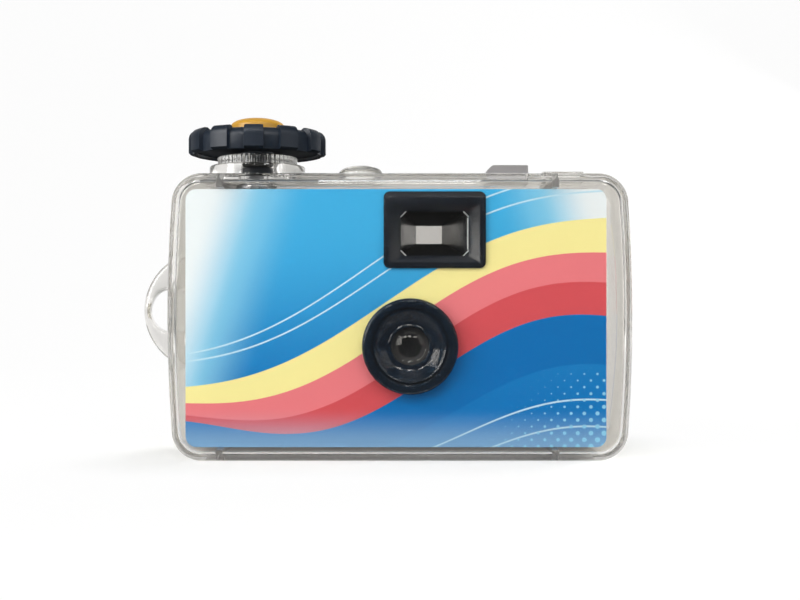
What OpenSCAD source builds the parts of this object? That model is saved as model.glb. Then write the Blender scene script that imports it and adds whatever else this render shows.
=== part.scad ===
// Waterproof single-use 35 mm film camera: a label-wrapped camera in a clear sealed case.
// Millimetres, front towards -Y, origin in the middle of the case's base.

/* [Case] */
// Wall of the clear shells
case_wall = 2; // [1.6:0.1:2.4]
// Corner radius of the case seen from the front
case_corner_r = 7.5; // [6:0.5:9]
// Radius along the front and rear edges of the case
case_edge_r = 3; // [2.5:0.1:4]
// How far the sides bulge at mid height
case_bow = 1; // [0:0.1:2]
// Room between the inner camera and the case at each side
side_gap = 3; // [2.5:0.1:5]
// How far the inner camera sits to the left of the middle
camera_shift = 1; // [0:0.1:1.4]
// Room under the inner camera
base_gap = 1; // [0.9:0.1:2]
// Room over the inner camera
top_gap = 1.7; // [1.2:0.1:3]
// Room in front of the inner camera, for the lens ring
front_gap = 4; // [3.8:0.1:6]
// Room behind the inner camera
rear_gap = 3.5; // [3:0.1:6]
// Depth of the rear shell without its lip
rear_shell_d = 6.5; // [5.6:0.1:7]
// Thickness of the gasket between the shells
gasket_t = 1; // [0.6:0.1:1.4]
// How far the rear shell's lip reaches into the front shell
lip_depth = 3; // [2:0.1:4]
// Thickness of the rear shell's lip
lip_t = 0.8; // [0.6:0.1:0.9]
// Thickness of the ribs that hold the inner camera
rib_t = 1.7; // [1.5:0.1:3]
// Distance of the left rib from the inner camera's left side
left_rib_in = 8.9; // [7:0.1:8.9]
// Distance of the right rib from the inner camera's right side
right_rib_in = 13; // [9:0.1:15]

/* [Case details] */
// Diameter of the boss under the knob
boss_d = 24.7; // [22:0.1:25.4]
// Height of the boss over the case
boss_h = 3.5; // [2:0.1:5]
// Diameter of the serrated collar on the boss
collar_d = 20.5; // [18:0.1:21.5]
// Height of the serrated collar
collar_h = 2.3; // [1:0.1:4]
// Number of serrations on the collar
collar_teeth = 48; // [24:1:60]
// Depth of the serrations
collar_tooth = 0.3; // [0.2:0.1:1]
// Diameter of the magnifier dome over the frame counter
dome_d = 11.6; // [10:0.1:13]
// Height of the straight edge of the dome
dome_edge_h = 1.2; // [0.6:0.1:2]
// Rise of the dome over its edge
dome_rise = 2.1; // [1:0.1:3]
// Place of the dome along the case
dome_x = -10; // [-11:0.1:-9]
// Place of the dome from front to back
dome_y = -4; // [-5:0.1:-3]
// Width of the pry block
block_w = 10.6; // [8:0.1:14]
// Length of the pry block from front to back
block_l = 12; // [8:0.5:14]
// Height of the pry block
block_h = 2.9; // [2:0.1:4]
// Bevel on the left of the pry block
block_bevel = 1.6; // [0.5:0.1:1.9]
// Place of the pry block along the case
block_x = 27; // [25:0.1:28]
// Width of the low pad
pad_w = 10; // [8:0.1:11]
// Length of the low pad from front to back
pad_l = 11; // [8:0.5:14]
// Height of the low pad
pad_h = 0.4; // [0.2:0.1:0.8]
// Place of the low pad along the case
pad_x = 40; // [39:0.1:42]
// Radius of the strap lug
lug_r = 15.5; // [14:0.1:17]
// How far the strap lug stands out from the side
lug_reach = 9.3; // [8.6:0.1:11]
// Thickness of the strap lug
lug_t = 4; // [3:0.1:6]
// Radius of the hole in the strap lug
lug_hole_r = 5.5; // [4.8:0.1:5.8]
// Width of the lug's rim beside its hole
lug_rim = 1.6; // [1.4:0.1:3]
// Height of the strap lug's middle
lug_z = 36.6; // [30:0.1:42]

/* [Knob and button] */
// Diameter of the knob over its grips
knob_d = 35.4; // [32:0.1:36]
// Height of the knob's ring
knob_h = 6.2; // [5:0.1:8]
// Depth of the recesses between the grips
grip_depth = 1; // [0.5:0.1:1.6]
// Number of grips
grip_count = 12; // [8:1:16]
// Angle that one grip covers
grip_angle = 16; // [10:1:18]
// Turn of the grips from straight ahead
grip_turn = 3.3; // [0:0.1:15]
// How far the grips stand over the ring's top
grip_rise = 0.6; // [0:0.1:1]
// Gap between the collar and the knob
knob_gap = 0.4; // [0.3:0.1:1]
// Depth of the dish under the knob
dish_depth = 1; // [0.5:0.1:1.5]
// Width of the rim round that dish
dish_rim = 1.8; // [1.2:0.1:3]
// Thickness of the knob's web under the button
web_t = 1.3; // [1:0.1:2]
// Diameter of the knob's hub
hub_d = 8; // [7.4:0.1:8.6]
// Length of the hub under the top wall
hub_tail = 2.5; // [2:0.1:2.6]
// Diameter of the button
button_d = 13.8; // [12:0.1:15]
// Height of the button's edge over the knob
button_edge_h = 1.8; // [1:0.1:3]
// Rise of the button's dome
button_rise = 1.8; // [1.2:0.1:3]
// Travel of the button
button_travel = 2.5; // [1.5:0.1:2.6]
// Diameter of the rod under the button
rod_d = 3.4; // [3:0.1:3.8]
// Side of the square end of the rod
rod_square = 2.3; // [1.8:0.1:2.4]
// Wire of the button spring
spring_wire = 0.5; // [0.4:0.05:0.6]
// Turns of the button spring
spring_turns = 5; // [4:1:5]
// Section of the hub's O-ring
seal_d = 1.4; // [1:0.1:1.6]
// Section of the rod's O-ring
rod_seal_d = 0.9; // [0.7:0.1:1]
// Diameter of the retaining clip
clip_d = 11; // [10.4:0.1:11.6]
// Thickness of the retaining clip
clip_t = 0.6; // [0.4:0.05:0.8]

/* [Inner camera] */
// Width of the inner camera
camera_w = 104; // [102:0.5:110]
// Corner radius of the inner camera's front half
camera_corner_r = 2.5; // [2:0.1:4]
// Corner radius of the inner camera's back half
back_corner_r = 4.8; // [4.6:0.1:6]
// Thickness of the printed label
label_t = 0.25; // [0.2:0.05:0.4]
// Wall of the inner covers
cover_wall = 1.25; // [1:0.05:1.6]
// Wall of the chassis at its chambers
chassis_wall = 1.2; // [1:0.1:1.6]
// Floor of the chassis under the cartridge
chassis_floor = 1.8; // [1.6:0.1:4]
// Depth in front of the film chambers
front_room = 0.4; // [0.3:0.1:1]
// Depth behind the film chambers
rear_room = 0.9; // [0.8:0.1:2]
// Where the front and back covers meet, behind the knob's axis
cover_split = 7; // [6.5:0.1:8]
// Height of the mechanism over its deck
mech_room = 13.3; // [13:0.1:15]
// Thickness of the deck
deck_t = 1.5; // [1:0.1:2]

/* [Film] */
// Width of the film
film_w = 35; // [34:0.5:36]
// Thickness of the film
film_t = 0.15; // [0.1:0.01:0.25]
// Pitch of the perforations
perf_pitch = 4.75; // [4.5:0.05:5]
// Diameter of the cartridge
cartridge_d = 25; // [24:0.1:26]
// Height of the cartridge beyond the film at each end
cartridge_end = 3.5; // [3:0.1:4]
// Diameter of the film roll on the supply spool
roll_d = 17.5; // [14:0.1:20]
// Diameter of the supply spool's core
core_d = 10; // [8:0.1:12]
// Diameter of the supply chamber
supply_d = 22; // [21:0.1:23]
// Width of the picture gate
gate_w = 36; // [34:0.5:36]
// Height of the picture gate
gate_h = 24; // [22:0.5:24]

/* [Lens and viewfinder] */
// Place of the lens along the camera
lens_x = 2.5; // [1:0.1:4]
// Diameter of the lens ring
lens_ring_d = 23.7; // [22:0.1:25]
// How far the lens ring stands out from the label
lens_ring_h = 3.3; // [2.5:0.1:3.4]
// Diameter of the lens ring's barrel behind the label
barrel_d = 20.8; // [19:0.1:21.4]
// Diameter of the lens
lens_d = 10.4; // [9.8:0.1:11]
// Clear diameter in front of the lens
lens_clear_d = 9.4; // [8.6:0.1:9.5]
// Diameter of the aperture
aperture_d = 3.2; // [2.4:0.1:3.6]
// Place of the viewfinder along the camera
finder_x = 8.6; // [8.4:0.1:9.4]
// Width of the viewfinder frame
finder_w = 25; // [24:0.1:25.6]
// Height of the viewfinder frame
finder_h = 18.7; // [17:0.1:19]
// Room between the viewfinder frame and the camera's top
finder_drop = 0.7; // [0.5:0.1:1.2]
// Width of the viewfinder's front window
finder_lens_w = 17.8; // [16:0.1:18]
// Height of the viewfinder's front window
finder_lens_h = 11.9; // [11:0.1:12.4]
// Width of the viewfinder's rear window
eyepiece_w = 7.5; // [6:0.1:9]
// Height of the viewfinder's rear window
eyepiece_h = 5.2; // [4:0.1:6]

/* [Wind and shutter] */
// Diameter of the advance wheel over its ratchet teeth
wheel_d = 26; // [24:0.1:26]
// Thickness of the advance wheel
wheel_t = 3.2; // [2:0.1:4]
// Number of ratchet teeth
ratchet_teeth = 36; // [24:1:48]
// Teeth of the sprocket
sprocket_teeth = 8; // [6:1:10]
// Diameter of the counter dial
dial_d = 15.2; // [14:0.1:15.4]
// Steps of the counter dial
dial_steps = 30; // [24:1:36]
// Length of the release lever from its pin to the rod
release_l = 15.5; // [15:0.1:15.8]
// Thickness of the release lever
release_t = 1.2; // [1:0.1:1.4]
// Distance of the shutter blade's pin from the lens axis
blade_l = 14.5; // [14:0.1:15]
// Thickness of the shutter blade
blade_t = 0.4; // [0.3:0.05:0.5]

/* [Fits] */
// Radial clearance of shafts that turn or slide
run_fit = 0.06; // [0.03:0.01:0.1]
// Clearance of pieces that seat in each other
seat_fit = 0.05; // [0.02:0.01:0.1]
// Clearance of the chassis in its covers
cover_fit = 0.2; // [0.1:0.05:0.4]
// Clearance between parts that pass each other
pass_fit = 0.3; // [0.2:0.05:0.5]

/* [Hidden] */
$fn = 64;

eps = 0.01;
over = 1;

// Inner camera, from its chambers outwards
skin = label_t + cover_wall;
chamber_r = cartridge_d / 2 + 2 * pass_fit;
cam_y0 = -(chamber_r + front_room + skin);
cam_y1 = chamber_r + rear_room + skin;
cam_x0 = -camera_w / 2 - camera_shift;
cam_x1 = camera_w / 2 - camera_shift;
cam_z0 = case_wall + base_gap;
body_x0 = cam_x0 + skin + cover_fit;
body_x1 = cam_x1 - skin - cover_fit;
body_z0 = cam_z0 + skin + cover_fit;
knob_x = body_x0 + chassis_wall + chamber_r;
supply_x = body_x1 - chassis_wall - supply_d / 2;
cart_clear = 0.5;
cartridge_h = film_w + 2 * cartridge_end;
cart_z0 = body_z0 + chassis_floor + cart_clear;
cart_z1 = cart_z0 + cartridge_h;
lens_z = cart_z0 + cartridge_h / 2;
body_z1 = cart_z1 + 1.5;
deck_z = body_z1 + deck_t;
cam_z1 = deck_z + mech_room + skin;
film_y = cartridge_d / 2 - 0.5;
body_y1 = film_y - 0.1;
body_y0 = cam_y0 + skin + 3.5;

// Case, round the inner camera
case_w = camera_w + 2 * side_gap + 2 * case_wall;
case_h = cam_z1 + top_gap + case_wall;
case_y0 = cam_y0 - front_gap - case_wall;
case_y1 = cam_y1 + rear_gap + case_wall;
rear_rim_y = case_y1 - rear_shell_d;
parting_y = rear_rim_y - gasket_t;
cavity_edge_r = max(case_edge_r - case_wall, 0.5);
left_rib_x = cam_x0 + left_rib_in;
right_rib_x = cam_x1 - right_rib_in;
bow_steps = 4;

// Knob, from the case's top upwards
boss_z = case_h + boss_h;
collar_z = boss_z + collar_h;
knob_z0 = collar_z + knob_gap;
knob_z1 = knob_z0 + knob_h;
web_z = knob_z0 + dish_depth;
well_z = web_z + web_t;
hub_r = hub_d / 2;
hub_z = case_h - case_wall - hub_tail;
bore_r = hub_r + run_fit;
clip_z1 = case_h - case_wall - 0.1;
clip_z0 = clip_z1 - clip_t;
clip_groove_r = hub_r - 0.8;
seal_z = (case_h + collar_z) / 2;
seal_mid_r = bore_r - seal_d / 2 - 0.02;
rod_r = rod_d / 2;
rod_bore_r = rod_r + run_fit;
rod_seal_mid_r = rod_bore_r - rod_seal_d / 2 - 0.02;
rod_seal_z = case_h + boss_h / 2;

// Button, over the knob's well
button_r = button_d / 2;
well_r = button_r + 0.2;
cap_z0 = well_z + button_travel + 0.5;
cap_z1 = knob_z1 + button_edge_h;
cap_top = cap_z1 + button_rise;
cap_pocket_r = 4.2;
cap_pocket_z = cap_z1 + 0.3;
ear_w = 2;
ear_reach = 1;
ear_h = 1.2;
spring_r = rod_r + 1.2;
spring_z0 = well_z + spring_wire / 2 + 0.02;
spring_z1 = cap_pocket_z - spring_wire / 2 - 0.02;

// Release, under the hub
collar_top_z = hub_z - 0.1;
rod_collar_r = 3;
rod_collar_t = 1;
bump_h = 0.8;
bump_z = collar_top_z - rod_collar_t - 0.2;
release_z1 = bump_z - bump_h;
release_z0 = release_z1 - release_t;
pin_z = (release_z0 + release_z1) / 2;
pin_r = 1;
release_half_w = 3;
release_ear_y = release_half_w + pass_fit;
release_ear_t = 1.2;
pin_end_y = release_ear_y + release_ear_t + 0.5;
pin_x = knob_x + release_l;
sear_z = deck_z + 3;

// Wind work on the deck
wheel_r = wheel_d / 2;
wheel_z0 = deck_z + pass_fit;
wheel_hub_z = deck_z + 5.2;
shaft_r = 4;
fork_depth = 3;
socket_z = cart_z1 + 1.6;
sprocket_r = perf_pitch * sprocket_teeth / (2 * PI);
sprocket_tip_r = sprocket_r - 0.15;
spool_foot = 3;
sprocket_room = 1.35;
sprocket_x = knob_x + chamber_r + sprocket_room + sprocket_r;
sprocket_y = film_y - sprocket_r;
perf_row = film_w / 2 - 2.7;
sprocket_z = lens_z + perf_row;
sprocket_t = 0.9;
axle_r = 1.5;
dial_x = dome_x - 0.8;
dial_y = dome_y + 6.5;
dial_z = deck_z + 10;
dial_t = 1.2;
post_r = 1.2;
counter_gear_r = 4.2;
cock_x = sprocket_x;
cock_y = cam_y0 + skin + 6.3;
cock_z0 = deck_z + 1;
cock_t = 1.2;

// Lens and shutter, forward of the chassis
dark_w = 9;
plate_rim = 2;
plate_end = 4;
plate_y = body_y0 - 1.2;
blade_y1 = plate_y - 0.4;
blade_x = lens_x - blade_l;
blade_z = lens_z + 4;
finder_z1 = cam_z1 - finder_drop;
finder_z0 = finder_z1 - finder_h;
finder_z = (finder_z0 + finder_z1) / 2 - 0.9;
tunnel_wall = 1;
frame_proud = 0.8;
finder_corner_r = 1.5;
bevel_depth = 1.8;
ledge_h = 1.3;
ledge_depth = 0.6;
eyepiece_z = finder_z + 1.1;
eyepiece_x = finder_x - 0.9;
tunnel_y1 = cam_y1 - skin - 0.4;

// Rectangle with round corners, from its lower left corner
module rounded_rect(w, h, r) {
    translate([r, 0]) square([w - 2 * r, h]);
    translate([0, r]) square([w, h - 2 * r]);
    for (x = [r, w - r], y = [r, h - r]) translate([x, y]) circle(r);
}

// Upright block with round corners seen from the front
module front_block(x0, x1, z0, z1, r, y0, y1) {
    translate([x0, y1, z0]) rotate([90, 0, 0]) linear_extrude(y1 - y0) rounded_rect(x1 - x0, z1 - z0, r);
}

// Plain box between two corners
module box(a, b) {
    translate(a) cube(b - a);
}

// Pin along Y
module y_pin(x, z, r, y0, y1) {
    translate([x, y1, z]) rotate([90, 0, 0]) cylinder(r = r, h = y1 - y0);
}

// Four-sided taper along Y, from one rectangle at y0 to another at y1
module taper(x0, z0, w0, h0, y0, x1, z1, w1, h1, y1) {
    z_low = min(z0 - h0, z1 - h1);
    z_high = max(z0 + h0, z1 + h1);
    x_low = min(x0 - w0, x1 - w1);
    x_high = max(x0 + w0, x1 + w1);
    intersection() {
        translate([0, 0, z_low]) linear_extrude(z_high - z_low)
            polygon([[x0 - w0 / 2, y0], [x0 + w0 / 2, y0], [x1 + w1 / 2, y1], [x1 - w1 / 2, y1]]);
        translate([x_low, 0, 0]) rotate([90, 0, 90]) linear_extrude(x_high - x_low)
            polygon([[y0, z0 - h0 / 2], [y0, z0 + h0 / 2], [y1, z1 + h1 / 2], [y1, z1 - h1 / 2]]);
    }
}

// Flat outline with pointed teeth, for serrations, ratchets and gears
module toothed(r, depth, teeth) {
    step = 180 / teeth;
    polygon([for (i = [0 : 2 * teeth - 1]) (r - (i % 2) * depth) * [cos(i * step), sin(i * step)]]);
}

// Arm between two points, with a round bulb at its far end
module arm(a, b, r, h) {
    bulb = 0.15;
    d = b - a;
    translate([a.x, a.y, 0]) {
        translate([d.x, d.y, 0]) cylinder(r = r + bulb, h = h);
        rotate([0, 0, atan2(d.y, d.x)]) translate([0, -r, 0]) cube([norm(d), 2 * r, h]);
    }
}

// Solid form of the case, its front edge rounded; the sides follow a shallow bow
module case_form(inset, y0, y1, edge) {
    r = case_corner_r - inset;
    l = y1 - y0;
    hull() for (side = [-1, 1], i = [0 : bow_steps]) {
        t = i / bow_steps;
        translate([side * (case_w / 2 - case_corner_r - case_bow * pow(2 * t - 1, 2)), y1,
                   case_corner_r + t * (case_h - 2 * case_corner_r)])
            rotate([90, 0, 0]) rotate_extrude($fn = 32) {
                square([r, max(l - edge, eps)]);
                square([r - edge, l]);
                if (edge > 0) translate([r - edge, l - edge]) intersection() {
                    circle(edge);
                    square(edge);
                }
            }
    }
}

// Solid between the inner camera's outer faces, drawn in by an inset
module camera_form(inset, corner_r, y0, y1) {
    front_block(cam_x0 + inset, cam_x1 - inset, cam_z0 + inset, cam_z1 - inset, corner_r - inset, y0, y1);
}

// Openings in the front half of the inner camera, shared by its label and cover
module front_openings(room) {
    y_pin(lens_x, lens_z, barrel_d / 2 + room, cam_y0 - over, cam_y0 + 4);
    front_block(finder_x - finder_w / 2 - room, finder_x + finder_w / 2 + room, finder_z0 - room,
                finder_z1 + room, finder_corner_r, cam_y0 - over, cam_y0 + 4);
    translate([knob_x, 0, cam_z1 - 3]) cylinder(d = clip_d + 2 * pass_fit + room, h = 4);
    translate([dome_x, dome_y, cam_z1 - 3]) cylinder(r = 3 + room, h = 4);
}

module strap_lug() {
    x_side = -case_w / 2;
    mid_x = x_side - lug_reach + lug_r;
    hole_x = x_side - lug_reach + lug_rim + lug_hole_r;
    intersection() {
        difference() {
            y_pin(mid_x, lug_z, lug_r, -lug_t / 2, lug_t / 2);
            y_pin(hole_x, lug_z, lug_hole_r, -lug_t, lug_t);
        }
        box([x_side - lug_reach - over, -lug_t, 0], [x_side + case_wall / 2, lug_t, case_h]);
    }
}

module case_top_details() {
    translate([knob_x, 0, case_h - case_wall / 2]) cylinder(d = boss_d, h = boss_h + case_wall / 2);
    translate([knob_x, 0, boss_z - eps]) linear_extrude(collar_h + eps)
        toothed(collar_d / 2, collar_tooth, collar_teeth);
    dome_r = (pow(dome_d / 2, 2) + pow(dome_rise, 2)) / (2 * dome_rise);
    translate([dome_x, dome_y, case_h - case_wall / 2]) intersection() {
        cylinder(d = dome_d, h = case_wall / 2 + dome_edge_h + dome_rise + over);
        translate([0, 0, case_wall / 2 + dome_edge_h + dome_rise - dome_r]) sphere(dome_r, $fn = 96);
    }
    translate([block_x, block_l / 2 + dome_y, case_h - case_wall / 2]) rotate([90, 0, 0])
        linear_extrude(block_l) polygon([[-block_w / 2, 0], [block_w / 2, 0],
            [block_w / 2, block_h + case_wall / 2], [block_bevel - block_w / 2, block_h + case_wall / 2],
            [-block_w / 2, block_h + case_wall / 2 - block_bevel]]);
    translate([pad_x - pad_w / 2, case_y0 + case_edge_r, case_h - case_wall / 2])
        cube([pad_w, pad_l, pad_h + case_wall / 2]);
}

module front_case() color("#dfe6e6", 0.35) {
    rib_fit = 0.1;
    difference() {
        union() {
            case_form(0, case_y0, parting_y, case_edge_r);
            strap_lug();
            case_top_details();
        }
        case_form(case_wall, case_y0 + case_wall, parting_y + over, cavity_edge_r);
        translate([knob_x, 0, case_h - case_wall - over])
            cylinder(r = bore_r, h = case_wall + boss_h + collar_h + 2 * over);
    }
    for (x = [left_rib_x, right_rib_x]) {
        box([x - rib_t / 2, case_y0 + case_edge_r, cam_z1 + rib_fit],
            [x + rib_t / 2, parting_y - lip_depth - 2, case_h - case_wall / 2]);
        box([x - rib_t / 2, case_y0 + case_edge_r, case_wall / 2],
            [x + rib_t / 2, parting_y - lip_depth - 2, cam_z0 - rib_fit]);
    }
}

module rear_case() color("#dfe6e6", 0.35) {
    rib_fit = 0.1;
    root_l = 1.5;
    mirror([0, 1, 0]) difference() {
        union() {
            difference() {
                case_form(0, -case_y1, -rear_rim_y, case_edge_r);
                case_form(case_wall, case_wall - case_y1, over - rear_rim_y, cavity_edge_r);
            }
            // lip that enters the front shell, and its root inside the rear wall
            case_form(case_wall + seat_fit, -rear_rim_y - eps, lip_depth - parting_y, 0);
            case_form(case_wall / 2, -rear_rim_y - root_l, -rear_rim_y, 0);
        }
        case_form(case_wall + lip_t, -rear_rim_y - root_l - over, lip_depth - parting_y + over, 0);
    }
    for (x = [left_rib_x, right_rib_x])
        box([x - rib_t / 2, cam_y1 + rib_fit, case_corner_r],
            [x + rib_t / 2, case_y1 - case_wall / 2, case_h - case_corner_r]);
}

module case_gasket() color("#2b2b2b") difference() {
    gasket_inset = 0.4;
    mirror([0, 1, 0]) case_form(gasket_inset, -rear_rim_y, -parting_y, 0);
    mirror([0, 1, 0]) case_form(case_wall - seat_fit, -rear_rim_y - over, -parting_y + over, 0);
}

// Section of the knob's ring between two radii and two heights, its top edge rounded by flats
module ring_section(r_in, r, z0, z1) {
    polygon([[r_in, z0], [r - 0.4, z0], [r, z0 + 0.4], [r, z1 - 2.2], [r - 0.3, z1 - 1.1], [r - 0.9, z1 - 0.4],
             [r - 1.9, z1], [r_in, z1]]);
}

module winding_knob() color("#23282e") translate([knob_x, 0, 0]) difference() {
    ring_z = knob_z1 - grip_rise;
    lip_r = well_r + ear_reach + 0.9;
    union() {
        rotate_extrude() ring_section(0, knob_d / 2 - grip_depth, knob_z0, ring_z);
        for (i = [0 : grip_count - 1]) rotate([0, 0, grip_turn - 90 + i * 360 / grip_count - grip_angle / 2])
            rotate_extrude(angle = grip_angle) ring_section(knob_d / 2 - 2.7, knob_d / 2, knob_z0 + 0.3, knob_z1);
        translate([0, 0, hub_z]) cylinder(r = hub_r, h = web_z - hub_z + eps);
    }
    // dish under the knob, round the hub
    translate([0, 0, knob_z0 - over]) difference() {
        cylinder(r = knob_d / 2 - dish_rim, h = over + dish_depth);
        cylinder(r = hub_r, h = over + dish_depth);
    }
    // shallow dish on top, round the button
    rotate_extrude() polygon([[lip_r, ring_z + over], [lip_r, ring_z - 0.8], [knob_d / 2 - 4.4, ring_z - 0.8],
                              [knob_d / 2 - 3.6, ring_z + eps], [knob_d / 2 - 3.6, ring_z + over]]);
    translate([0, 0, well_z]) cylinder(r = well_r, h = knob_h);
    for (side = [0, 180]) rotate([0, 0, side])
        translate([0, -ear_w / 2 - 0.1, well_z]) cube([well_r + ear_reach, ear_w + 0.2, knob_h]);
    translate([0, 0, hub_z - over]) cylinder(r = rod_bore_r, h = well_z - hub_z + 2 * over);
    // grooves for the O-ring and the clip
    translate([0, 0, seal_z - seal_d / 2 - 0.1]) difference() {
        cylinder(r = hub_r + over, h = seal_d + 0.2);
        cylinder(r = seal_mid_r - seal_d / 2 - 0.02, h = seal_d + 0.2);
    }
    translate([0, 0, clip_z0 - seat_fit]) difference() {
        cylinder(r = hub_r + over, h = clip_t + 2 * seat_fit);
        cylinder(r = clip_groove_r, h = clip_t + 2 * seat_fit);
    }
}

module spindle_seal() color("#1d1d1d") translate([knob_x, 0, seal_z])
    rotate_extrude() translate([seal_mid_r, 0]) circle(d = seal_d, $fn = 32);

module retaining_clip() color("#b9bcc0") translate([knob_x, 0, clip_z0]) difference() {
    cylinder(d = clip_d, h = clip_t);
    translate([0, 0, -over]) cylinder(r = clip_groove_r + seat_fit, h = clip_t + 2 * over);
    translate([0, -clip_groove_r * 0.85, -over]) cube([clip_d, clip_groove_r * 1.7, clip_t + 2 * over]);
}

module shutter_button() color("#e6a02c") translate([knob_x, 0, 0]) {
    dome_r = (pow(button_r, 2) + pow(button_rise, 2)) / (2 * button_rise);
    difference() {
        union() {
            translate([0, 0, cap_z0]) cylinder(r = button_r, h = cap_z1 - cap_z0);
            intersection() {
                translate([0, 0, cap_z1 - eps]) cylinder(r = button_r, h = button_rise + over);
                translate([0, 0, cap_top - dome_r]) sphere(dome_r, $fn = 96);
            }
            for (side = [0, 180]) rotate([0, 0, side]) translate([0, -ear_w / 2, cap_z0])
                cube([button_r + ear_reach, ear_w, ear_h]);
        }
        translate([0, 0, cap_z0 - over]) difference() {
            cylinder(r = cap_pocket_r, h = cap_pocket_z - cap_z0 + over);
            translate([0, 0, over + 0.6]) cylinder(r = rod_r + 0.7, h = cap_pocket_z - cap_z0);
        }
        translate([0, 0, cap_z0]) cylinder(r = rod_r + seat_fit, h = cap_z1 - cap_z0 + 0.9);
    }
}

// Points of the spring's middle line and the tube swept along it
spring_rings = 8 * spring_turns;
spring_line = [for (i = [0 : spring_rings]) let (a = 45 * i)
    [spring_r * cos(a), spring_r * sin(a), spring_z0 + (spring_z1 - spring_z0) * i / spring_rings]];
spring_gap = min([for (i = [0 : spring_rings - 6], j = [i + 6 : spring_rings])
    norm(spring_line[i] - spring_line[j])]) - spring_wire;
echo(least_gap_of_button_spring = spring_gap);

module button_spring() color("#c4c7ca") translate([knob_x, 0, 0]) {
    sides = 6;
    points = [for (i = [0 : spring_rings], k = [0 : sides - 1]) let (a = 45 * i, b = 360 * k / sides)
        spring_line[i] + spring_wire / 2 * [cos(b) * cos(a), cos(b) * sin(a), sin(b)]];
    walls = [for (i = [0 : spring_rings - 1], k = [0 : sides - 1])
        let (p = i * sides + k, q = i * sides + (k + 1) % sides)
        each [[p, q, q + sides], [p, q + sides, p + sides]]];
    start_cap = [for (k = [1 : sides - 2]) [0, k + 1, k]];
    last = spring_rings * sides;
    end_cap = [for (k = [1 : sides - 2]) [last, last + k, last + k + 1]];
    polyhedron(points, concat([for (f = walls) [f[0], f[2], f[1]]],
        [for (f = start_cap) [f[0], f[2], f[1]]], [for (f = end_cap) [f[0], f[2], f[1]]]));
}

module shutter_rod() color("#b9bcc0") translate([knob_x, 0, 0]) difference() {
    square_z1 = wheel_hub_z + button_travel + 0.3;
    square_z0 = wheel_z0 + 1.2;
    union() {
        translate([0, 0, square_z1]) cylinder(r = rod_r, h = cap_z1 + 0.8 - square_z1);
        translate([0, 0, collar_top_z - rod_collar_t]) cylinder(r = rod_collar_r, h = rod_collar_t);
        translate([-rod_square / 2, -rod_square / 2, square_z0])
            cube([rod_square, rod_square, square_z1 - square_z0 + eps]);
    }
    translate([0, 0, rod_seal_z - rod_seal_d / 2 - 0.1]) difference() {
        cylinder(r = rod_r + over, h = rod_seal_d + 0.2);
        cylinder(r = rod_seal_mid_r - rod_seal_d / 2 - 0.02, h = rod_seal_d + 0.2);
    }
}

module rod_seal() color("#1d1d1d") translate([knob_x, 0, rod_seal_z])
    rotate_extrude() translate([rod_seal_mid_r, 0]) circle(d = rod_seal_d, $fn = 32);

module front_label() color("#1f8fd6") difference() {
    camera_form(0, camera_corner_r, cam_y0, cover_split);
    camera_form(label_t, camera_corner_r, cam_y0 + label_t, cover_split + over);
    front_openings(0.15);
}

module back_label() color("#1f8fd6") difference() {
    camera_form(0, back_corner_r, cover_split + 0.1, cam_y1);
    camera_form(label_t, back_corner_r, cover_split - over, cam_y1 - label_t);
    taper(eyepiece_x, eyepiece_z, eyepiece_w + 5, eyepiece_h + 5, cam_y1 - 2,
          eyepiece_x, eyepiece_z, eyepiece_w + 5, eyepiece_h + 5, cam_y1 + over);
}

module front_cover() color("#17191c") difference() {
    camera_form(label_t, camera_corner_r, cam_y0 + label_t, cover_split);
    camera_form(skin, camera_corner_r, cam_y0 + skin, cover_split + over);
    front_openings(0);
}

module back_cover() color("#17191c") {
    rib_y = film_y + film_t + pass_fit;
    difference() {
        camera_form(label_t, back_corner_r, cover_split + 0.1, cam_y1 - label_t);
        camera_form(skin, back_corner_r, cover_split - over, cam_y1 - skin);
        taper(eyepiece_x, eyepiece_z, eyepiece_w + 4, eyepiece_h + 4, cam_y1 - 3,
              eyepiece_x, eyepiece_z, eyepiece_w + 4, eyepiece_h + 4, cam_y1 + over);
    }
    // ribs that keep the film flat
    for (z = [lens_z - gate_h / 2 - 2.5, lens_z + gate_h / 2 + 2.5])
        box([lens_x - gate_w / 2, rib_y, z - 0.6], [lens_x + gate_w / 2, cam_y1 - skin + eps, z + 0.6]);
}

// Turned about the lens axis: radius against distance forward of the label
module lens_turn() {
    translate([lens_x, cam_y0, lens_z]) rotate([90, 0, 0]) rotate_extrude() children();
}

barrel_back = -2.6;
lens_seat = -0.6;

module lens_ring() color("#14181e") lens_turn() {
    r = lens_ring_d / 2;
    h = lens_ring_h;
    polygon([[barrel_d / 2 - seat_fit, barrel_back], [barrel_d / 2 - seat_fit, 0], [r, 0], [r, h - 1],
             [r - 0.3, h - 0.4], [r - 0.9, h], [r - 1.7, h - 0.1], [r - 2.6, h - 0.7], [r - 2.8, h - 1.5],
             [r - 3.4, h - 1.5], [r - 3.7, h - 1], [lens_clear_d / 2 + 0.8, 0.5], [lens_clear_d / 2, 0.4],
             [lens_clear_d / 2, lens_seat], [lens_d / 2 + seat_fit, lens_seat],
             [lens_d / 2 + seat_fit, barrel_back]]);
}

module taking_lens() color("#c9d6dc", 0.5) {
    rim_t = 0.8;
    bulge = 1.2;
    sag_r = (pow(lens_clear_d / 2, 2) + pow(bulge, 2)) / (2 * bulge);
    lens_turn() {
        translate([0, lens_seat - rim_t]) square([lens_d / 2, rim_t]);
        intersection() {
            translate([0, lens_seat + bulge - sag_r]) circle(sag_r, $fn = 128);
            translate([0, lens_seat - eps]) square([lens_clear_d / 2 - seat_fit, bulge + 1]);
        }
    }
}

module lens_retainer() color("#17191c") lens_turn()
    translate([aperture_d / 2 + 1, barrel_back]) square([lens_d / 2 - aperture_d / 2 - 1, 1.15]);

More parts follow.
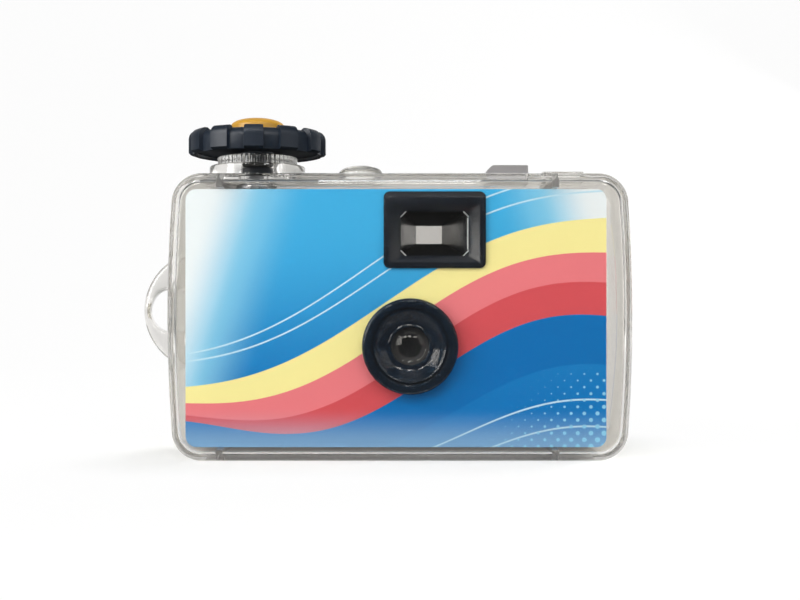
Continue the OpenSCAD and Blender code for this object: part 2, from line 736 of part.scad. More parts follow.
module octagon_window(w, h, cut, y0, y1) {
    translate([finder_x, y1, finder_z]) rotate([90, 0, 0]) linear_extrude(y1 - y0)
        polygon([[cut - w / 2, -h / 2], [w / 2 - cut, -h / 2], [w / 2, cut - h / 2], [w / 2, h / 2 - cut],
                 [w / 2 - cut, h / 2], [cut - w / 2, h / 2], [-w / 2, h / 2 - cut], [-w / 2, cut - h / 2]]);
}

finder_cut = 2;
window_y0 = cam_y0 - frame_proud + bevel_depth;
window_t = 1.6;

module viewfinder_frame() color("#101215") {
    bevel_w = finder_w - 2.8;
    bevel_h = finder_h - 4.3;
    window_y1 = window_y0 + window_t + seat_fit;
    difference() {
        union() {
            front_block(finder_x - finder_w / 2, finder_x + finder_w / 2, finder_z0, finder_z1, finder_corner_r,
                        cam_y0 - frame_proud, cam_y0 + skin);
            front_block(finder_x - finder_lens_w / 2 - tunnel_wall, finder_x + finder_lens_w / 2 + tunnel_wall,
                        finder_z - finder_lens_h / 2 - tunnel_wall, finder_z + finder_lens_h / 2 + tunnel_wall,
                        1, cam_y0 + skin - eps, tunnel_y1);
        }
        taper(finder_x, finder_z, bevel_w, bevel_h, cam_y0 - frame_proud - eps,
              finder_x, finder_z, finder_lens_w - 1, finder_lens_h - 1, window_y0);
        octagon_window(finder_lens_w, finder_lens_h, finder_cut, window_y0 - eps, window_y1);
        // sloping ledge along the frame's top
        translate([finder_x - finder_w, cam_y0 - frame_proud, finder_z1]) rotate([90, 0, 90])
            linear_extrude(2 * finder_w)
                polygon([[-over, -ledge_h - over * ledge_h / ledge_depth], [ledge_depth, 0], [ledge_depth, over],
                         [-over, over]]);
        taper(finder_x, finder_z, finder_lens_w - 0.8, finder_lens_h - 0.8, window_y1 - eps,
              eyepiece_x, eyepiece_z, eyepiece_w, eyepiece_h, tunnel_y1 + eps);
    }
}

module viewfinder_lens() color("#d7e2e6", 0.5) difference() {
    octagon_window(finder_lens_w - 2 * seat_fit, finder_lens_h - 2 * seat_fit, finder_cut,
                   window_y0 + seat_fit, window_y0 + window_t);
    hollow_r = 160;
    hollow_depth = 0.2;
    translate([finder_x, window_y0 + seat_fit + hollow_depth - hollow_r, finder_z])
        sphere(hollow_r, $fn = 480);
}

module viewfinder_eyepiece() color("#e9eceb", 0.5) {
    y0 = tunnel_y1 + 0.1;
    lens_r = 14;
    intersection() {
        front_block(eyepiece_x - eyepiece_w / 2 - 1.9, eyepiece_x + eyepiece_w / 2 + 1.9,
                    eyepiece_z - eyepiece_h / 2 - 1.9, eyepiece_z + eyepiece_h / 2 + 1.9, 0.8, y0, cam_y1);
        translate([eyepiece_x, cam_y1 - lens_r, eyepiece_z]) sphere(lens_r, $fn = 128);
    }
}

module camera_body() color("#1c1e21") difference() {
    track_z = film_w / 2 + 0.4;
    front_block(body_x0, body_x1, body_z0, body_z1, back_corner_r - skin, body_y0, body_y1);
    // cartridge chamber, open to the rear, with a hole for the spool's foot
    translate([knob_x, 0, body_z0 + chassis_floor]) cylinder(r = chamber_r, h = cartridge_h + 4);
    box([knob_x - chamber_r, 0, body_z0 + chassis_floor], [knob_x + chamber_r, body_y1 + over, body_z1 + over]);
    translate([knob_x, 0, body_z0 - over]) cylinder(r = shaft_r + pass_fit, h = chassis_floor + 2 * over);
    // supply chamber, open to the rear, with a hole for the spool's foot
    translate([supply_x, 0, lens_z - track_z]) cylinder(d = supply_d, h = 2 * track_z);
    box([supply_x - supply_d / 2, 0, lens_z - track_z], [supply_x + supply_d / 2, body_y1 + over, lens_z + track_z]);
    translate([supply_x, 0, lens_z - track_z - spool_foot])
        cylinder(r = axle_r + run_fit, h = 2 * (track_z + spool_foot));
    // dark chamber from the lens to the picture gate
    taper(lens_x, lens_z, dark_w, dark_w, body_y0 - eps, lens_x, lens_z, gate_w, gate_h, body_y1 + eps);
    // sprocket pocket and its axle hole
    translate([sprocket_x, sprocket_y, sprocket_z - 1.2]) cylinder(r = sprocket_r + 0.6, h = 2.4);
    box([sprocket_x - sprocket_r - 0.6, sprocket_y, sprocket_z - 1.2],
        [sprocket_x + sprocket_r + 0.6, body_y1 + over, sprocket_z + 1.2]);
    translate([sprocket_x, sprocket_y, sprocket_z - 3.2]) cylinder(r = axle_r + run_fit, h = cartridge_h);
    // notch for the viewfinder tunnel
    box([finder_x - finder_w / 2 - 0.6, body_y0 - over, finder_z - finder_lens_h / 2 - tunnel_wall - 0.1],
        [finder_x + finder_w / 2 + 0.6, body_y1 + over, body_z1 + over]);
}

module mechanism_deck() color("#2a2d31") {
    deck_x1 = finder_x - finder_w / 2 - 0.8;
    difference() {
        box([body_x0, body_y0, body_z1], [deck_x1, body_y1, deck_z]);
        translate([knob_x, 0, body_z1 - over]) cylinder(r = shaft_r + run_fit, h = deck_t + 2 * over);
        translate([sprocket_x, sprocket_y, body_z1 - over]) cylinder(r = axle_r + run_fit, h = deck_t + 2 * over);
    }
    // posts of the counter dial and the cocking lever
    translate([dial_x, dial_y, deck_z - eps]) cylinder(r = post_r, h = dial_z + dial_t - deck_z);
    translate([dial_x, dial_y, deck_z - eps]) cylinder(r = post_r + 0.8, h = dial_z - 2 - deck_z);
    translate([cock_x, cock_y, deck_z - eps]) cylinder(r = post_r, h = cock_z0 + cock_t - deck_z + 0.3);
    translate([cock_x, cock_y, deck_z - eps]) cylinder(r = post_r + 0.8, h = cock_z0 - deck_z - 0.05);
    // ears that carry the release lever's pin
    for (side = [-1, 1]) difference() {
        translate([pin_x - 1.5, side * (release_ear_y + release_ear_t / 2) - release_ear_t / 2, deck_z - eps])
            cube([3, release_ear_t, pin_z + 1.6 - deck_z + eps]);
        y_pin(pin_x, pin_z, pin_r + 0.01, -pin_end_y, pin_end_y);
    }
    // springy arm that clicks along the ratchet
    translate([knob_x, 0, 0]) rotate([0, 0, 27]) {
        box([wheel_r + pass_fit, -1, wheel_z0 + 0.4], [wheel_r + pass_fit + 0.9, 6, wheel_z0 + wheel_t - 0.4]);
        box([wheel_r + pass_fit, 3.5, deck_z - eps], [wheel_r + pass_fit + 2, 6, wheel_z0 + wheel_t - 0.4]);
    }
}

module shutter_plate() color("#17191c") {
    difference() {
        box([blade_x - plate_end, plate_y, lens_z - dark_w - plate_rim],
            [lens_x + dark_w, body_y0, lens_z + dark_w + plate_rim]);
        y_pin(lens_x, lens_z, aperture_d / 2, plate_y - over, body_y0 + over);
    }
    y_pin(blade_x, blade_z, 0.9, blade_y1 - blade_t - 0.4, plate_y + eps);
}

module shutter_blade() color("#3b3d40") {
    tail_top = cock_z0 + cock_t + 1;
    translate([0, blade_y1, 0]) rotate([90, 0, 0]) difference() {
        union() {
            translate([lens_x, lens_z]) cylinder(r = aperture_d / 2 + 1.2, h = blade_t);
            arm([blade_x, blade_z], [lens_x, lens_z], 1.2, blade_t);
            translate([blade_x, blade_z]) cylinder(r = 2.2, h = blade_t);
            arm([blade_x, blade_z], [blade_x - 2, tail_top], 0.8, blade_t);
        }
        translate([blade_x, blade_z, -over]) cylinder(r = 0.9 + run_fit, h = blade_t + 2 * over);
    }
}

module cocking_lever() color("#8f9499") {
    striker = 5 * [cos(-140), sin(-140)];
    sear = 3.5 * [cos(120), sin(120)];
    translate([cock_x, cock_y, cock_z0]) difference() {
        union() {
            cylinder(r = 2.2, h = cock_t);
            arm([0, 0], striker, 0.8, cock_t);
            arm([0, 0], sear, 0.7, cock_t);
        }
        translate([0, 0, -over]) cylinder(r = post_r + run_fit, h = cock_t + 2 * over);
    }
}

module release_lever() color("#8f9499") difference() {
    fork_x = knob_x - 2.6;
    union() {
        box([fork_x, -release_half_w, release_z0], [pin_x, release_half_w, release_z1]);
        y_pin(pin_x, pin_z, 1.9, -release_half_w, release_half_w);
        box([pin_x - 0.8, -2, sear_z], [pin_x + 0.8, 2, pin_z]);
        for (side = [-1, 1])
            translate([knob_x - 0.7, side * (release_half_w - 0.5) - 0.5, release_z1 - eps])
                cube([1.4, 1, bump_h + eps]);
    }
    box([fork_x - over, -rod_r - pass_fit, release_z0 - over], [knob_x + 3, rod_r + pass_fit, release_z1 + over]);
    y_pin(pin_x, pin_z, pin_r + run_fit, -release_half_w - over, release_half_w + over);
}

module lever_pin() color("#b9bcc0")
    y_pin(pin_x, pin_z, pin_r, -pin_end_y, pin_end_y);

module advance_wheel() color("#3a3d42") translate([knob_x, 0, 0]) difference() {
    foot_z = cart_z1 - fork_depth;
    union() {
        translate([0, 0, wheel_z0]) linear_extrude(wheel_t) toothed(wheel_r, 0.8, ratchet_teeth);
        translate([0, 0, wheel_z0]) cylinder(r = 5, h = wheel_hub_z - wheel_z0);
        translate([0, 0, foot_z]) cylinder(r = shaft_r, h = wheel_z0 - foot_z + eps);
    }
    box([-rod_square / 2 - run_fit, -rod_square / 2 - run_fit, socket_z - 0.9],
        [rod_square / 2 + run_fit, rod_square / 2 + run_fit, wheel_hub_z + over]);
    // fork over the bar in the cartridge spool
    box([-1, -shaft_r - over, foot_z - over], [1, shaft_r + over, cart_z1 - 0.5]);
}

module sprocket() color("#c9cbc8") translate([sprocket_x, sprocket_y, 0]) {
    finger_z = dial_z - 1.6;
    translate([0, 0, sprocket_z - 2.2]) cylinder(r = axle_r, h = finger_z + 1.2 - sprocket_z + 2.2);
    translate([0, 0, sprocket_z - sprocket_t / 2]) {
        cylinder(r = sprocket_r - 1.2, h = sprocket_t);
        for (i = [0 : sprocket_teeth - 1]) rotate([0, 0, i * 360 / sprocket_teeth])
            translate([axle_r, -0.7, 0]) cube([sprocket_tip_r - axle_r, 1.4, sprocket_t]);
    }
    // finger that steps the counter, and cam that resets the cocking lever
    translate([0, -0.5, finger_z]) cube([2.1, 1, 1.2]);
    translate([0, 0, deck_z + 0.3]) cylinder(r = axle_r + 0.6, h = 1.4);
}

module counter_dial() color("#e8e8e4") translate([dial_x, dial_y, 0]) difference() {
    union() {
        translate([0, 0, dial_z]) cylinder(d = dial_d, h = dial_t);
        translate([0, 0, dial_z - 1.9]) linear_extrude(1.9 + eps) toothed(counter_gear_r, 0.7, dial_steps);
    }
    translate([0, 0, dial_z - 3]) cylinder(r = post_r + run_fit, h = dial_t + 4);
}

module cartridge_shell() color("#6f747a") translate([knob_x, 0, 0]) difference() {
    shell_t = 0.4;
    lip_x = chamber_r - 0.6;
    union() {
        translate([0, 0, cart_z0 + 1]) cylinder(d = cartridge_d, h = cartridge_h - 2);
        box([0, cartridge_d / 2 - 1.6, cart_z0 + 1], [lip_x, cartridge_d / 2, cart_z1 - 1]);
    }
    translate([0, 0, cart_z0]) cylinder(d = cartridge_d - 2 * shell_t, h = cartridge_h);
    box([0, film_y - 0.4, lens_z - film_w / 2 - 0.5], [lip_x + over, film_y + 0.2, lens_z + film_w / 2 + 0.5]);
}

module cartridge_caps() color("#9a9da0") translate([knob_x, 0, 0]) for (z = [cart_z0, cart_z1 - 1 + seat_fit])
    translate([0, 0, z]) difference() {
        cylinder(d = cartridge_d + 0.4, h = 1 - seat_fit);
        translate([0, 0, -over]) cylinder(r = shaft_r + pass_fit + 0.7, h = 1 + 2 * over);
    }

module cartridge_spool() color("#1f2124") translate([knob_x, 0, 0]) {
    wall_r = shaft_r + pass_fit;
    difference() {
        union() {
            translate([0, 0, cart_z0 + 1.3]) cylinder(r = 5.6, h = cartridge_h - 2.6);
            translate([0, 0, body_z0 + 0.4]) cylinder(r = shaft_r, h = 4);
        }
        translate([0, 0, cart_z1 - fork_depth - 0.2]) cylinder(r = wall_r, h = fork_depth + over);
    }
    box([-0.8, -wall_r - 0.3, cart_z1 - 3.3], [0.8, wall_r + 0.3, cart_z1 - 1.4]);
}

module film_strip() color("#6b5a48") {
    mouth_x = knob_x + chamber_r - 0.5;
    lead_x = supply_x - supply_d / 2 + 1;
    roll_y = roll_d / 2 + 0.05;
    perf_w = 2;
    perf_h = 2.8;
    perf_n = floor((lead_x - mouth_x - perf_w) / perf_pitch);
    difference() {
        translate([0, 0, lens_z - film_w / 2]) linear_extrude(film_w)
            polygon([[mouth_x, film_y], [lead_x, film_y], [supply_x, roll_y], [supply_x, roll_y + film_t],
                     [lead_x, film_y + film_t], [mouth_x, film_y + film_t]]);
        for (i = [0 : perf_n - 1], side = [-1, 1])
            translate([mouth_x + 1 + i * perf_pitch, film_y - over, lens_z + side * perf_row - perf_h / 2])
                cube([perf_w, 2 * over, perf_h]);
    }
}

module film_roll() color("#5d4d3c") translate([supply_x, 0, lens_z - film_w / 2]) difference() {
    cylinder(d = roll_d, h = film_w);
    translate([0, 0, -over]) cylinder(r = core_d / 2 + seat_fit, h = film_w + 2 * over);
}

module supply_spool() color("#d8d8d4") translate([supply_x, 0, lens_z]) {
    foot = film_w / 2 + spool_foot;
    translate([0, 0, -foot]) cylinder(r = axle_r, h = 2 * foot);
    translate([0, 0, -film_w / 2]) cylinder(d = core_d, h = film_w);
}

front_case();
rear_case();
case_gasket();
winding_knob();
spindle_seal();
retaining_clip();
shutter_button();
button_spring();
shutter_rod();
rod_seal();
front_label();
back_label();
front_cover();
back_cover();
lens_ring();
taking_lens();
lens_retainer();
viewfinder_frame();
viewfinder_lens();
viewfinder_eyepiece();
camera_body();
mechanism_deck();
shutter_plate();
shutter_blade();
cocking_lever();
release_lever();
lever_pin();
advance_wheel();
sprocket();
counter_dial();
cartridge_shell();
cartridge_caps();
cartridge_spool();
film_strip();
film_roll();
supply_spool();
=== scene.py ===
import math
import bpy
import bmesh
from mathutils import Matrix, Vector


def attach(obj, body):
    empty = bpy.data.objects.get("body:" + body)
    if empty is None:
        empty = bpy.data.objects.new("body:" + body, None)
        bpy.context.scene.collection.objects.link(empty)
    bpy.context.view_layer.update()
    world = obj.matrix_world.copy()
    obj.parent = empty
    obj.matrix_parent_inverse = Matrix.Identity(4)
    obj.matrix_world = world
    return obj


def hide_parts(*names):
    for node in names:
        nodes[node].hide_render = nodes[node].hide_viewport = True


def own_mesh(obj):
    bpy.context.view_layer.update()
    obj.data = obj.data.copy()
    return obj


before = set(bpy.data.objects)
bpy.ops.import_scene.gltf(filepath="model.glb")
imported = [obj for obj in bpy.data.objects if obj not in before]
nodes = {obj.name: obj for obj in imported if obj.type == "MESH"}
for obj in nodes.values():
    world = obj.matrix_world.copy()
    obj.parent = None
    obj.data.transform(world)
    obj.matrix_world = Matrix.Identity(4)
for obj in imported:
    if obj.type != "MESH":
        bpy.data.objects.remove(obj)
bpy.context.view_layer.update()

scene = bpy.context.scene
mm = 0.001  # sizes below are in millimetres, in the part's own frame, where no note says metres
weld = 0.002  # points closer than this become one
sharpTurn = 25  # edges that turn by more degrees than this are rounded


# sRGB hex to the linear colour that the shaders take
def hexColour(text):
    channels = [int(text[i:i + 2], 16) / 255 for i in (1, 3, 5)]
    return tuple(c / 12.92 if c <= 0.04045 else ((c + 0.055) / 1.055) ** 2.4 for c in channels) + (1.0,)


# texture scale that gives a pattern this many millimetres across
def perMetre(size):
    return 1 / (size * mm)


# one node; a setting is a property or an input, and an input takes a value or another node's output
def addNode(tree, kind, settings=None):
    node = tree.nodes.new(kind)
    for key, value in (settings or {}).items():
        if isinstance(value, bpy.types.NodeSocket):
            tree.links.new(value, node.inputs[key])
        elif isinstance(key, int) or key in node.inputs:
            node.inputs[key].default_value = value
        else:
            setattr(node, key, value)
    return node


# result of one operation on values or outputs
def calc(tree, operation, *values, clamp=False):
    settings = {"operation": operation, "use_clamp": clamp, **dict(enumerate(values))}
    return addNode(tree, "ShaderNodeMath", settings).outputs[0]


# the same on vectors; a length or distance comes out as a number
def calcVector(tree, operation, *values):
    node = addNode(tree, "ShaderNodeVectorMath", {"operation": operation, **dict(enumerate(values))})
    return node.outputs["Value" if operation in ("LENGTH", "DISTANCE") else "Vector"]


# a value that runs from start to end brought to low and high, as a soft step or straight
def mapped(tree, value, start, end, low=0.0, high=1.0, soft=True):
    settings = {"interpolation_type": "SMOOTHSTEP" if soft else "LINEAR"}
    settings.update({0: value, 1: start, 2: end, 3: low, 4: high})
    return addNode(tree, "ShaderNodeMapRange", settings).outputs[0]


# the second colour laid over the first
def mixedColour(tree, cover, first, second):
    return addNode(tree, "ShaderNodeMix", {"data_type": "RGBA", 0: cover, 6: first, 7: second}).outputs[2]


def noise(tree, place, size, detail=2.0):
    settings = {"Vector": place, "Scale": perMetre(size), "Detail": detail}
    return addNode(tree, "ShaderNodeTexNoise", settings).outputs[0]


# relief of this depth in the shader's surface
def relief(tree, shader, height, depth):
    bump = addNode(tree, "ShaderNodeBump", {"Strength": 1.0, "Distance": depth * mm, "Height": height})
    tree.links.new(bump.outputs[0], shader.inputs["Normal"])


def newMaterial(name, settings):
    material = bpy.data.materials.new(name)
    material.use_nodes = True
    tree = material.node_tree
    tree.nodes.clear()
    shader = addNode(tree, "ShaderNodeBsdfPrincipled", settings)
    addNode(tree, "ShaderNodeOutputMaterial", {0: shader.outputs[0]})
    return material, tree, shader


# Opaque mouldings: two close tones in soft patches, a roughness that drifts and a fine spark-eroded grain
def mouldedFinish(name, look):
    material, tree, shader = newMaterial(name, {"IOR": look["ior"], "Metallic": look.get("metallic", 0.0),
                                                "Specular IOR Level": look.get("specular", 0.5)})
    place = addNode(tree, "ShaderNodeTexCoord").outputs["Object"]
    patch = noise(tree, place, look["patch"], 3.0)
    tone = mixedColour(tree, patch, hexColour(look["tone"]), hexColour(look["shade"]))
    rough = mapped(tree, patch, 0, 1, look["rough"] - look["drift"], look["rough"] + look["drift"], soft=False)
    tree.links.new(tone, shader.inputs["Base Color"])
    tree.links.new(rough, shader.inputs["Roughness"])
    relief(tree, shader, noise(tree, place, look["grain"]), look["depth"])
    return material


# Clear mouldings: light passes straight on for shadows, so what is inside stays lit
def clearFinish(name, look):
    material, tree, shader = newMaterial(name, {"Base Color": hexColour(look["tone"]), "IOR": look["ior"],
                                                "Transmission Weight": 1.0})
    place = addNode(tree, "ShaderNodeTexCoord").outputs["Object"]
    rough = mapped(tree, noise(tree, place, look["patch"]), 0, 1, look["smooth"], look["hazy"], soft=False)
    tree.links.new(rough, shader.inputs["Roughness"])
    relief(tree, shader, noise(tree, place, look["flow"], 1.0), look["depth"])
    shadowRay = addNode(tree, "ShaderNodeLightPath").outputs["Is Shadow Ray"]
    through = addNode(tree, "ShaderNodeBsdfTransparent", {"Color": hexColour(look["shadow"])})
    both = addNode(tree, "ShaderNodeMixShader", {0: shadowRay, 1: shader.outputs[0], 2: through.outputs[0]})
    tree.links.new(both.outputs[0], tree.nodes["Material Output"].inputs[0])
    return material


# clear general-purpose polystyrene, moulded and polished: faintly warm, with slow flow waves in the wall
clearPolystyrene = clearFinish("clear polystyrene, polished moulding", {
    "tone": "#EAE8E5", "shadow": "#F4F4F2", "ior": 1.59, "smooth": 0.0, "hazy": 0.04, "patch": 14, "flow": 16,
    "depth": 0.05})
# the same polystyrene, rough as off an unpolished part of the tool, with its tone painted grey as shade
dullShadedPolystyrene = clearFinish("clear polystyrene, dull moulding with painted shade", {
    "tone": "#9A9798", "shadow": "#D8D8D4", "ior": 1.59, "smooth": 0.25, "hazy": 0.4, "patch": 3, "flow": 2,
    "depth": 0.01})
# the same polystyrene in the fine teeth round the knob's seat: its tone painted greyer as shade, standing for the
# light that the small faces scatter
toothedShadedPolystyrene = clearFinish("clear polystyrene, toothed moulding with painted shade", {
    "tone": "#BDBDBA", "shadow": "#E4E4E0", "ior": 1.59, "smooth": 0.02, "hazy": 0.1, "patch": 3, "flow": 2,
    "depth": 0.01})
# acrylic lenses, polished: clearer than the case and without waves
acrylic = clearFinish("acrylic, polished lens", {
    "tone": "#FFFFFF", "shadow": "#F8F8F8", "ior": 1.49, "smooth": 0.0, "hazy": 0.01, "patch": 5, "flow": 9,
    "depth": 0.001})
# silicone strip, moulded: milky and see-through, with a dry surface
silicone = clearFinish("silicone, moulded gasket", {
    "tone": "#F4F3EF", "shadow": "#E8E8E4", "ior": 1.41, "smooth": 0.3, "hazy": 0.5, "patch": 6, "flow": 4,
    "depth": 0.02})
# pale, dull acrylic for thin strips on the finder window's edges: painted glints that show as thin bright lines
paintedGlintAcrylic = mouldedFinish("acrylic, painted glint lines", {
    "tone": "#C3C7C8", "shade": "#B2B7B9", "ior": 1.49, "rough": 0.35, "drift": 0.05,
    "patch": 1.5, "grain": 0.3, "depth": 0.01})
# nitrile rubber rings: dull black
nitrile = mouldedFinish("nitrile rubber, moulded ring", {
    "tone": "#1B1B1C", "shade": "#232324", "ior": 1.52, "rough": 0.6, "drift": 0.08,
    "patch": 3, "grain": 0.3, "depth": 0.01})
# ABS with a spark-eroded grain: blue-black, matte, the grain drawn a little coarse so that it shows
blackAbs = mouldedFinish("black ABS, spark-eroded moulding", {
    "tone": "#131B26", "shade": "#19232F", "ior": 1.54, "specular": 0.36, "rough": 0.4, "drift": 0.06,
    "patch": 7, "grain": 0.35, "depth": 0.03})
# the same ABS under the knob: dull, as off a coarse tool, with little sheen, and a darker tone that is painted
# shade under the knob
coarseShadedAbs = mouldedFinish("black ABS, coarse moulding with painted shade", {
    "tone": "#12161C", "shade": "#181D24", "ior": 1.54, "specular": 0.06, "rough": 0.85, "drift": 0.05,
    "patch": 5, "grain": 0.4, "depth": 0.03})
# ABS, satin: warm orange-yellow
orangeAbs = mouldedFinish("orange ABS, satin moulding", {
    "tone": "#C9962C", "shade": "#C08D28", "ior": 1.54, "rough": 0.4, "drift": 0.05,
    "patch": 5, "grain": 0.4, "depth": 0.008})
# high-impact polystyrene of the camera's inside: dull black
blackPolystyrene = mouldedFinish("black polystyrene, matte moulding", {
    "tone": "#15171A", "shade": "#1C1E22", "ior": 1.59, "rough": 0.55, "drift": 0.08,
    "patch": 8, "grain": 0.5, "depth": 0.006})
# polystyrene from a polished tool: blue-black with soft sheen on the lens ring
ringPolystyrene = mouldedFinish("black polystyrene, high-gloss moulding", {
    "tone": "#0C1622", "shade": "#12202E", "ior": 1.59, "specular": 0.5, "rough": 0.13, "drift": 0.02,
    "patch": 4, "grain": 0.3, "depth": 0.0004})
# the same polystyrene, from a less polished tool, in the viewfinder's bevels
finderPolystyrene = mouldedFinish("black polystyrene, semi-gloss moulding", {
    "tone": "#10151D", "shade": "#181F29", "ior": 1.59, "rough": 0.24, "drift": 0.06,
    "patch": 6, "grain": 0.6, "depth": 0.003})
# the same polystyrene with a coarse grain against stray light in the viewfinder's tunnel
tunnelPolystyrene = mouldedFinish("black polystyrene, coarse moulding", {
    "tone": "#0E1012", "shade": "#141618", "ior": 1.59, "specular": 0.08, "rough": 0.85, "drift": 0.05,
    "patch": 4, "grain": 0.4, "depth": 0.02})
# drawn steel wire and turned steel: bright, with a soft sheen
springSteel = mouldedFinish("spring steel, bright drawn", {
    "tone": "#B9BCC0", "shade": "#A5A9AE", "ior": 1.5, "metallic": 1.0, "rough": 0.28, "drift": 0.06,
    "patch": 2, "grain": 0.25, "depth": 0.006})
# steel sheet of the shutter blade, blackened: dark and dull
blackSteel = mouldedFinish("steel sheet, blackened", {
    "tone": "#3A3B3D", "shade": "#2E2F31", "ior": 1.5, "metallic": 1.0, "rough": 0.42, "drift": 0.08,
    "patch": 3, "grain": 0.3, "depth": 0.005})
# acetal gears and levers: a waxy look in grey and white
greyAcetal = mouldedFinish("grey acetal, moulded", {
    "tone": "#84898E", "shade": "#7A7F84", "ior": 1.48, "rough": 0.42, "drift": 0.05,
    "patch": 4, "grain": 0.4, "depth": 0.006})
whiteAcetal = mouldedFinish("white acetal, moulded", {
    "tone": "#E4E4DF", "shade": "#DADAD4", "ior": 1.48, "rough": 0.4, "drift": 0.05,
    "patch": 4, "grain": 0.4, "depth": 0.006})
# lacquered tinplate of the film cartridge: grey metal with a soft sheen
tinplate = mouldedFinish("tinplate, grey lacquer", {
    "tone": "#7C8187", "shade": "#70757B", "ior": 1.5, "metallic": 1.0, "rough": 0.34, "drift": 0.06,
    "patch": 5, "grain": 0.5, "depth": 0.005})
# acetate film: brown, glossy
acetate = mouldedFinish("acetate film, coated", {
    "tone": "#6A5846", "shade": "#5F4E3D", "ior": 1.48, "rough": 0.3, "drift": 0.06,
    "patch": 6, "grain": 0.6, "depth": 0.003})
print("finishes of the mouldings and metals made")


# Coated paper with a printed pattern of flowing bands, its inks in sRGB
printLook = {
    "skyTop": "#EEF7FD", "skyLight": "#8CD2F4", "sky": "#3FB1E9", "seaDeep": "#0879C4", "sea": "#2A9ADA",
    "foot": "#A6CBE6", "line": "#BFE6FA", "dots": "#8FD2F4", "card": "#E2E1DC",
    # upper edge of each band: height in the middle, slope, swing, its length, shift, ink below the edge
    "bands": [(40.0, 0.36, 6.0, 118.0, 0.2, "#FBF2A4"), (32.5, 0.33, 6.5, 112.0, 0.0, "#EE8088"),
              (25.5, 0.30, 7.0, 108.0, -0.25, "#D8545C"), (19.0, 0.25, 7.0, 104.0, -0.5, "#0071BC"),
              (9.5, 0.19, 6.0, 98.0, -0.9, "sea")],
    # thin wave lines: height, slope, swing, length, shift
    "lines": [(47.0, 0.36, 6.0, 120.0, 0.3), (50.5, 0.37, 6.4, 124.0, 0.4), (4.0, 0.15, 4.4, 92.0, -1.1),
              (-1.0, 0.12, 4.0, 88.0, -1.3)],
    "lineWidth": 0.55, "inkEdge": 0.12,
    # share of the distance from the middle, what is taken off and share of the height, for the pale corners
    "corner": (1.6, -84.0, 0.5), "lightFade": (-16.0, 12.0), "paleFade": (3.0, 24.0), "deepFade": (62.0, 10.0),
    "footFade": (13.0, 2.5, 0.0, 0.55),
    # half-tone dots: pitch, turn in degrees, lean of their fade, its range, sharpness and room below the last band
    "dotPitch": 2.3, "dotTurn": 45, "dotLean": -1.1, "dotFade": (8.0, 52.0, 0.0, 0.4), "dotSharp": 12.0,
    "dotRoom": 0.8,
    # the print ends at this depth; coating and paper tooth
    "printFrom": 14.7, "printEdge": 0.1, "ior": 1.5, "specular": 0.2, "drift": 11, "rough": (0.3, 0.42),
    "tooth": 0.6, "toothDepth": 0.004,
}


def printedPaper(name, look):
    material, tree, shader = newMaterial(name, {"IOR": look["ior"], "Specular IOR Level": look["specular"]})
    place = addNode(tree, "ShaderNodeTexCoord").outputs["Object"]
    inMm = calcVector(tree, "MULTIPLY", place, (1 / mm,) * 3)
    x, y, z = addNode(tree, "ShaderNodeSeparateXYZ", {0: inMm}).outputs

    # how far the paper's point lies below a wave edge
    def below(height, slope, swing, length, shift):
        phase = calc(tree, "MULTIPLY_ADD", x, 2 * math.pi / length, shift)
        lift = calc(tree, "MULTIPLY_ADD", calc(tree, "SINE", phase), swing, height)
        return calc(tree, "SUBTRACT", calc(tree, "MULTIPLY_ADD", x, slope, lift), z)

    def over(colour, ink, cover):
        return mixedColour(tree, cover, colour, hexColour(ink) if isinstance(ink, str) else ink)

    # sky: pale towards the upper corners, deeper inwards and downwards
    sideShare, offset, heightShare = look["corner"]
    reach = calc(tree, "MULTIPLY_ADD", calc(tree, "ABSOLUTE", x), sideShare, offset)
    pale = calc(tree, "MULTIPLY_ADD", z, heightShare, reach)
    deep = mapped(tree, z, *look["deepFade"])
    colour = over(hexColour(look["sky"]), look["seaDeep"], deep)
    colour = over(colour, look["skyLight"], mapped(tree, pale, *look["lightFade"]))
    colour = over(colour, look["skyTop"], mapped(tree, pale, *look["paleFade"]))
    sea = over(hexColour(look["sea"]), look["seaDeep"], deep)
    sharp = 1 / look["inkEdge"]
    for *wave, ink in look["bands"]:
        cover = calc(tree, "MULTIPLY_ADD", below(*wave), sharp, 0.5, clamp=True)
        colour = over(colour, sea if ink == "sea" else ink, cover)
    for wave in look["lines"]:
        off = calc(tree, "ABSOLUTE", below(*wave))
        colour = over(colour, look["line"],
                      calc(tree, "MULTIPLY_ADD", off, -sharp, look["lineWidth"] * sharp / 2, clamp=True))
    # every ink pales towards the lower edge
    colour = over(colour, look["foot"], mapped(tree, z, *look["footFade"]))
    # half-tone dots that fade out from the lower right corner
    turned = addNode(tree, "ShaderNodeMapping", {
        0: inMm, "Rotation": (0, math.radians(look["dotTurn"]), 0), "Scale": (1 / look["dotPitch"],) * 3})
    cell = calcVector(tree, "MULTIPLY", calcVector(tree, "FRACTION", turned.outputs[0]), (1, 0, 1))
    away = calcVector(tree, "DISTANCE", cell, (0.5, 0, 0.5))
    slide = calc(tree, "MULTIPLY_ADD", z, look["dotLean"], x)
    size = mapped(tree, slide, *look["dotFade"], soft=False)
    dot = calc(tree, "MULTIPLY", calc(tree, "SUBTRACT", size, away), look["dotSharp"], clamp=True)
    *lastWave, ink = look["bands"][-1]
    room = calc(tree, "SUBTRACT", below(*lastWave), look["dotRoom"], clamp=True)
    colour = over(colour, look["dots"], calc(tree, "MULTIPLY", dot, room))
    # only the front and back faces are printed, the folded sides show bare card
    fold = calc(tree, "ABSOLUTE", y)
    bare = mapped(tree, fold, look["printFrom"], look["printFrom"] - look["printEdge"], soft=False)
    colour = over(colour, look["card"], bare)
    # coating: soft gloss that drifts, over a barely felt paper tooth
    rough = mapped(tree, noise(tree, place, look["drift"]), 0, 1, *look["rough"], soft=False)
    tree.links.new(colour, shader.inputs["Base Color"])
    tree.links.new(rough, shader.inputs["Roughness"])
    relief(tree, shader, noise(tree, place, look["tooth"]), look["toothDepth"])
    return material


